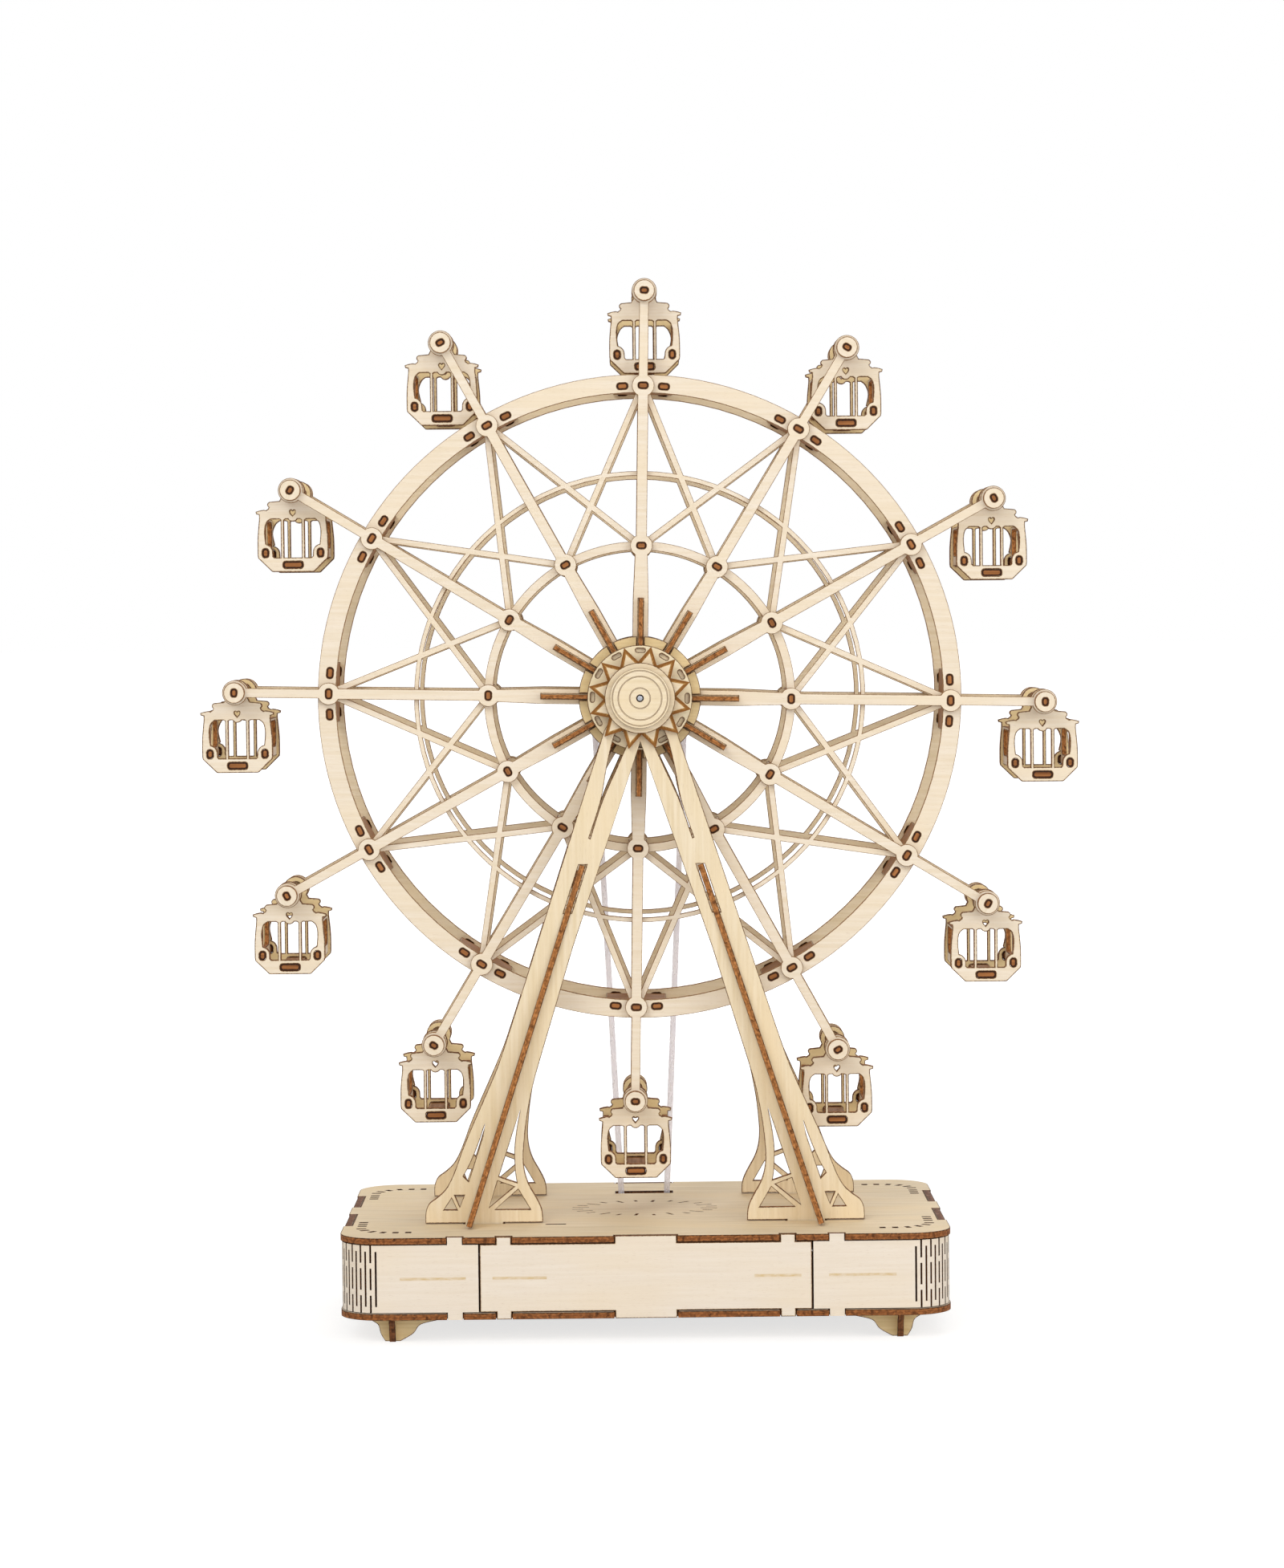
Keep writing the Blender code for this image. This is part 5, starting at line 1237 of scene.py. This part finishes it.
def ring_of(mesh, radius, heights=(0,), turn=Matrix(), offset=0.0):
    """The same shape at every arm, at a distance from the hub and at each Y."""
    arms = [WHEEL @ spin(PITCH * arm, "Y") @ spin(offset, "Y") for arm in range(ARMS)]
    return [(mesh, place @ at(0, y, radius) @ turn) for place in arms for y in heights]


def add_wheel():
    def add(name, placed, finishes, *replaced, slot="plywood"):
        piece(name, placed, finishes, "wheel", slot, *replaced)

    def add_pair(name, mesh, y, front, rear, node, slot="plywood"):
        add("front_" + name, [(mesh, WHEEL @ plane_y(-y))], front, "front_" + node, slot=slot)
        add("rear_" + name, [(mesh, WHEEL @ plane_y(y))], rear, "rear_" + node, slot=slot)

    def ends(mesh, radius, outside, turn=0.0):
        reach = outside - TENON_SINK
        return ring_of(mesh, radius, (-reach, reach), STAND, turn)

    # The rear copies take a darker, yellower ply than the front ones: painted shade for the parts behind
    add_pair("lattice_web", wheel_web(), WEB_Y, PALE_PLY, CREAM_PLY, "wheel_web")
    plates = ring_of(cross_piece(*CROSS_PLATE, side_tenons=True), RIM_NODE_RADIUS)
    plates += ends(tenon_end(RIM_TENON), RIM_NODE_RADIUS, SPOKE_OUTSIDE)
    for turn in (-RIM_TENON_TURN, RIM_TENON_TURN):
        plates += ends(tenon_end(SIDE_TENON - 0.1), RIM_NODE_RADIUS, WEB_OUTSIDE, turn)
    # The cross plates' dark brown face is painted shade between the two webs
    add("rim_cross_plates", plates, SHADE_BROWN_PLY + TENON, "rear_wheel_web")
    bars = ring_of(cross_piece(*CROSS_BAR), INNER_RING_RADIUS)
    bars += ends(tenon_end(INNER_TENON), INNER_RING_RADIUS, SPOKE_OUTSIDE)
    add("inner_cross_bars", bars, DARK_CUT_PALE + TENON, "rear_wheel_web")
    add_pair("spoke_star", spokes(), SPOKE_Y, PALE_PLY, CREAM_PLY, "spokes")
    rod = plate([rectangle(ROD_LONG / 2, ROD_OUTSIDE - TENON_LENGTH)], ROD_SHORT)
    rods = ring_of(rod, PIVOT_RADIUS)
    rods += ends(tenon_end(ROD_LONG, ROD_SHORT), PIVOT_RADIUS, ROD_OUTSIDE)
    add("cabin_pivot_rods", rods, DARK_CUT_PALE + TENON, "rear_spokes")
    hole = rounded(ROD_LONG / 2 + HOLE_ROOM, ROD_SHORT / 2 + HOLE_ROOM, 0.88, (0, 0), 5)
    cap = plate([circle(CAP_DISC_RADIUS, 40), hole])
    caps = ring_of(cap, PIVOT_RADIUS, (-HUB_DISC_Y, HUB_DISC_Y), STAND)
    add("pivot_cap_discs", caps, DARK_CUT_PALE)
    add("pivot_spacer_discs", ring_of(cap, PIVOT_RADIUS, SPACERS_Y, STAND), HONEY_PLY)
    # The rear hub plate's darker honey ply is painted shade behind the front one
    add_pair("hub_plate", hub_disc(), HUB_DISC_Y, AMBER_PLY, HONEY_PLY, "hub_disc", "warm_plywood")
    half, middle = (FIN_OUTER - FIN_INNER) / 2, (FIN_OUTER + FIN_INNER) / 2
    fin = plate([rectangle(half, FIN_FRONT, (middle, 0.0))], FIN_THICKNESS)
    fins = ring_of(fin, 0, (0,), EDGE_ON)
    add("hub_fins", fins, SUPPORT_PLY, "rear_hub_disc", slot="warm_plywood")
    # The slotted rings' brighter ivory ply is painted light that lifts the star's shade on them
    for name, face in (("front_slotted_", -1), ("rear_slotted_", 1)):
        add(name + "ring", slotted_disc(face), BRIGHTENED_IVORY_PLY, name + "disc")
    axle = lathed([
        (0.0, -AXLE_BACK), (AXLE_RADIUS - 0.3, -AXLE_BACK), (AXLE_RADIUS, 0.3 - AXLE_BACK),
        (AXLE_RADIUS, AXLE_SHOULDER), (AXLE_RADIUS - 0.2, AXLE_SHOULDER + 0.2),
        (AXLE_TIP_RADIUS, AXLE_SHOULDER + 0.2), (AXLE_TIP_RADIUS, AXLE_FRONT - 0.25),
        (AXLE_TIP_RADIUS - 0.25, AXLE_FRONT), (0.0, AXLE_FRONT),
    ])
    add("steel_axle", [(axle, WHEEL @ STAND)], (STEEL,), "wheel_axle", slot="steel")
    placed = pulley(BELT_WHEEL_RADIUS, WHEEL @ plane_y(BELT_Y))
    add("large_belt_pulley", placed, WARM_PLY, "wheel_pulley")


# Cabins

def cabin_outline():
    """Hanging plate's right half from its ear down: tiered roof, body and cut corners."""
    right = arc(EAR_RADIUS, 0, 118, 16) + [(4.1, -3.0), (7.3, -3.3)]
    right += arc(0.9, 20, 150, 4, (7.0, -4.2)) + [(7.6, -5.4), (8.3, -5.9)]
    right += smoothed([(8.9, -5.75), (10.2, -5.95), (11.55, -6.35)], 3)
    right += [(11.4, -7.1), (10.5, -7.35), (10.45, -8.2)]
    right += smoothed([(10.5, -9.0), (11.0, -14.5), (11.05, -20.0)], 4)
    right += [(10.9, -20.9), (6.6, -25.1), (6.2, -25.2)]
    return right + mirrored(right)[:-1]


def cabin_panes(reach, waist):
    """The window's three openings between the bars, round the corner bosses."""
    top, low = PANE_TOP, PANE_LOW
    near, far = span(BAR_X, BAR_WIDTH)
    middle = [(-near, low), (-near, top - 0.3), (-near + 0.5, top)]
    middle += arc(1.75, -122, -238, 8, (0.0, -7.75)) + mirrored(middle)
    side = [(far, low), (far, top - 0.3), (far + 0.5, top)]
    edge = [(reach - 1.6, top), (reach - 0.3, top - 1.2), (waist, -12.6), (reach - 0.1, -16.4)]
    side += smoothed(edge, 4) + arc(2.6, -12, -92, 8, (8.85, -19.1))
    side += [(6.2, low + 0.4), (5.8, low)]
    return [middle, side, mirrored(side)]


def heart(y=-6.7, size=0.95):
    """Small heart-shaped hole."""
    right = smoothed([(0.0, -1.0), (0.75, -0.1), (0.85, 0.55), (0.45, 0.8), (0.0, 0.4)], 3)
    points = right + mirrored(right)[1:-1]
    return moved([(size * px, size * py) for px, py in points], 0.0, y)


def cabin_plate(reach, waist, finish):
    outlines = [cabin_outline(), circle(PIVOT_HOLE, 24), *cabin_panes(reach, waist), heart()]
    outlines.append(rounded(FLOOR_HALF + HOLE_ROOM, 1.1, 0.8, (0.0, FLOOR_Z), 4))
    for side in SIDES:
        outlines.append(rounded(1.0, 1.4, 0.93, (side * WALL_TENON_X, WALL_TENON_Z), 5))
    return plate(outlines, singe=CABIN_SINGE, finish=finish)


def cabin_side_wall():
    """Side wall in the XY plane: X along the cabin's depth, Y the height from the pivot."""
    reach = CABIN_PLATE_Y - PLY / 2 - SHOULDER_ROOM
    tip = CABIN_PLATE_Y + PLY / 2 - TENON_LENGTH
    low, top = span(WALL_TENON_Z, WALL_TENON)
    right = [(reach, -8.4), (reach, top), (tip, top), (tip, low), (reach, low)]
    window = rounded(10.6, 4.1, 2.4, (0.0, -13.4), 6)
    return plate([right + mirrored(right), window], CABIN_WALL_PLY)


def add_cabins():
    tip = CABIN_PLATE_Y + PLY / 2
    # The rear plate takes a yellower, darker ply than the front one: painted shade for the plate behind
    front, rear = cabin_plate(8.5, 8.7, 0), cabin_plate(7.9, 8.5, 2)
    wall, end = cabin_side_wall(), tenon_end(2 * FLOOR_HALF)
    # The floor's dark brown face is painted shade inside the cabin
    floor = plate([rectangle(FLOOR_HALF, tip - TENON_LENGTH)], LOOSE_PLY, grain=90, finish=3)
    stub = plate([rounded(0.95, 1.35, 0.9, (0, 0), 5)], TENON_PLATE, singe=0.48, finish=1)
    finishes = CABIN_PLY + TENON + AMBER_PLY + SHADE_BROWN_PLY
    outside = (TENON_SINK - tip, tip - TENON_SINK)
    for arm in range(ARMS):
        x, z = polar(PIVOT_RADIUS, WHEEL_PHASE + PITCH * arm)
        place = at(x, 0, HUB_Z + z)
        placed = [(front, place @ plane_y(-CABIN_PLATE_Y)), (rear, place @ plane_y(CABIN_PLATE_Y))]
        placed.append((floor, place @ at(0, 0, FLOOR_Z)))
        placed += [(end, place @ at(0, y, FLOOR_Z) @ STAND) for y in outside]
        for side in SIDES:
            placed.append((wall, place @ at(side * WALL_X, 0, 0) @ QUARTER @ STAND))
            for y in outside:
                placed.append((stub, place @ at(side * WALL_TENON_X, y, WALL_TENON_Z) @ STAND))
        number = format(arm + 1, "02d")
        body = "cabin_" + number + "_body"
        piece("gondola_" + number, placed, finishes, body, "plywood", "cabin_" + number)


# Belt, pulley and key

def belt_route():
    drop = HUB_Z - DRIVE_AXIS_Z
    lean = math.degrees(math.asin((BELT_WHEEL_RADIUS - BELT_DRIVE_RADIUS) / drop))
    route = arc(BELT_WHEEL_RADIUS, -90 - lean, 90 + lean, 40, (0.0, HUB_Z))
    route += arc(BELT_DRIVE_RADIUS, 90 + lean, 270 - lean, 20, (0.0, DRIVE_AXIS_Z))
    return [(x, BELT_Y, z) for x, z in route]


def key_wings():
    """Butterfly key in the XZ plane, drawn about its middle height."""
    right = smoothed([(1.9, 0.75), (5.0, 0.95), (8.2, 1.5), (10.9, 1.35), (12.0, 0.0)], 5)
    right += flipped(right)[1:]
    hole = rounded(1.3, 0.55, 0.5, (9.4, 0.0), 4)
    return plate([right + mirrored(right), hole, mirrored(hole)], KEY_THICKNESS, singe=0.12)


def add_drive():
    placed = [(tube(belt_route(), BELT_DRAWN_RADIUS), Matrix())]
    piece("round_drive_belt", placed, (belt_finish(),), "root", "belt", "drive_belt")
    placed = pulley(BELT_DRIVE_RADIUS, at(0, BELT_Y, DRIVE_AXIS_Z) @ STAND)
    piece("small_belt_pulley", placed, WARM_PLY, "pulley_drive", "plywood", "drive_pulley")
    socket = lathed([(0.0, 1.2), (1.6, 1.2), (2.0, 1.5), (2.0, 4.1), (1.7, 4.4), (0.0, 4.4)])
    placed = [(key_wings(), at(0, KEY_Y, 2.8) @ STAND), (socket, at(0, KEY_Y, 0))]
    piece("butterfly_key", placed, (BRASS,) * 3, "spring_drive", "brass", "winding_key")


def dress_solids(nodes):
    """Materials for the frame's own solids that no piece replaces."""
    tones = (229, 208, 174), (208, 180, 138), (150, 96, 46)
    upright = solid_wood_finish("upright_ply", *tones, "Y")
    level = solid_wood_finish("level_ply", *tones, "Z")
    for look, names in (
        (BRASS, "movement_bedplate governor_bracket spring_barrel pin_cylinder governor_fly"),
        (STEEL, "movement_comb left_comb_screw right_comb_screw winding_shaft pulley_shaft"),
        (upright, "front_shaft_bracket rear_shaft_bracket"),
        (level, "friction_disc"),
        (rubber_finish(), "friction_roller"),
    ):
        for name in names.split():
            nodes[name].data.materials.clear()
            nodes[name].data.materials.append(look)


# Studio

def add_camera():
    """Camera that looks along Y, turned by the yaw, tilted down by the pitch and then rolled."""
    data = bpy.data.cameras.new("photo_camera")
    data.lens, data.sensor_width, data.clip_end = CAMERA_LENS, 36.0, 100.0
    camera = linked(bpy.data.objects.new("photo_camera", data))
    turn = spin(-CAMERA_YAW, "Z") @ spin(90 - CAMERA_PITCH, "X") @ spin(CAMERA_ROLL, "Z")
    camera.matrix_world = Matrix.Translation(Vector(CAMERA_PLACE) * SCALE) @ turn
    bpy.context.scene.camera = camera


def add_lamps():
    for name, place, height, size, power in LAMPS:
        data = bpy.data.lights.new(name, "AREA")
        data.shape, data.size, data.energy = "DISK", size, power
        lamp = linked(bpy.data.objects.new(name, data))
        lamp.location = place
        way = Vector((0, 0, height)) - Vector(place)
        lamp.rotation_euler = way.to_track_quat("-Z", "Y").to_euler()


def grey(level):
    return (level, level, level, 1.0)


def add_world():
    world = bpy.data.worlds.new("studio")
    bpy.context.scene.world = world
    nodes = Nodes(world)
    nodes.tree.nodes.clear()
    soft = nodes.node("Background", {"Color": (1.0, 0.985, 0.965, 1.0), "Strength": 0.5})[0]
    white = nodes.node("Background", {"Color": grey(1.0), "Strength": 1.0})[0]
    mix = nodes.node("MixShader", {0: nodes.seen_directly(), 1: soft, 2: white})[0]
    nodes.node("OutputWorld", {"Surface": mix})


def add_floor():
    """White floor that keeps a soft shadow under the object."""
    mesh = bpy.data.meshes.new("studio_floor")
    corners = [(x, y, 0) for x, y in rectangle(FLOOR_REACH, FLOOR_REACH)]
    mesh.from_pydata(corners, [], [(0, 1, 2, 3)])
    floor = linked(bpy.data.objects.new("studio_floor", mesh))
    paint = bpy.data.materials.new("studio_white")
    nodes = Nodes(paint)
    nodes.tree.nodes.clear()
    place = nodes.node("TexCoord")["Object"]
    distance = nodes.node("VectorMath", {0: place}, operation="LENGTH")["Value"]
    glow = nodes.node("Emission", {"Strength": nodes.range(distance, 0.25, 0.9, 0.7, 1.0)})[0]
    diffuse = nodes.node("BsdfDiffuse", {"Color": grey(0.45)})[0]
    lit = nodes.node("AddShader", {0: diffuse, 1: glow})[0]
    plain = nodes.node("BsdfDiffuse", {"Color": grey(0.8)})[0]
    mix = nodes.node("MixShader", {0: nodes.seen_directly(), 1: plain, 2: lit})[0]
    nodes.node("OutputMaterial", {"Surface": mix})
    mesh.materials.append(paint)


def main():
    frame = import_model()
    add_camera()
    add_base()
    add_supports()
    add_wheel()
    add_cabins()
    add_drive()
    dress_solids(frame["nodes"])
    add_world()
    add_floor()
    add_lamps()
    bpy.context.scene.view_settings.view_transform = "Standard"
    bpy.context.view_layer.update()


main()
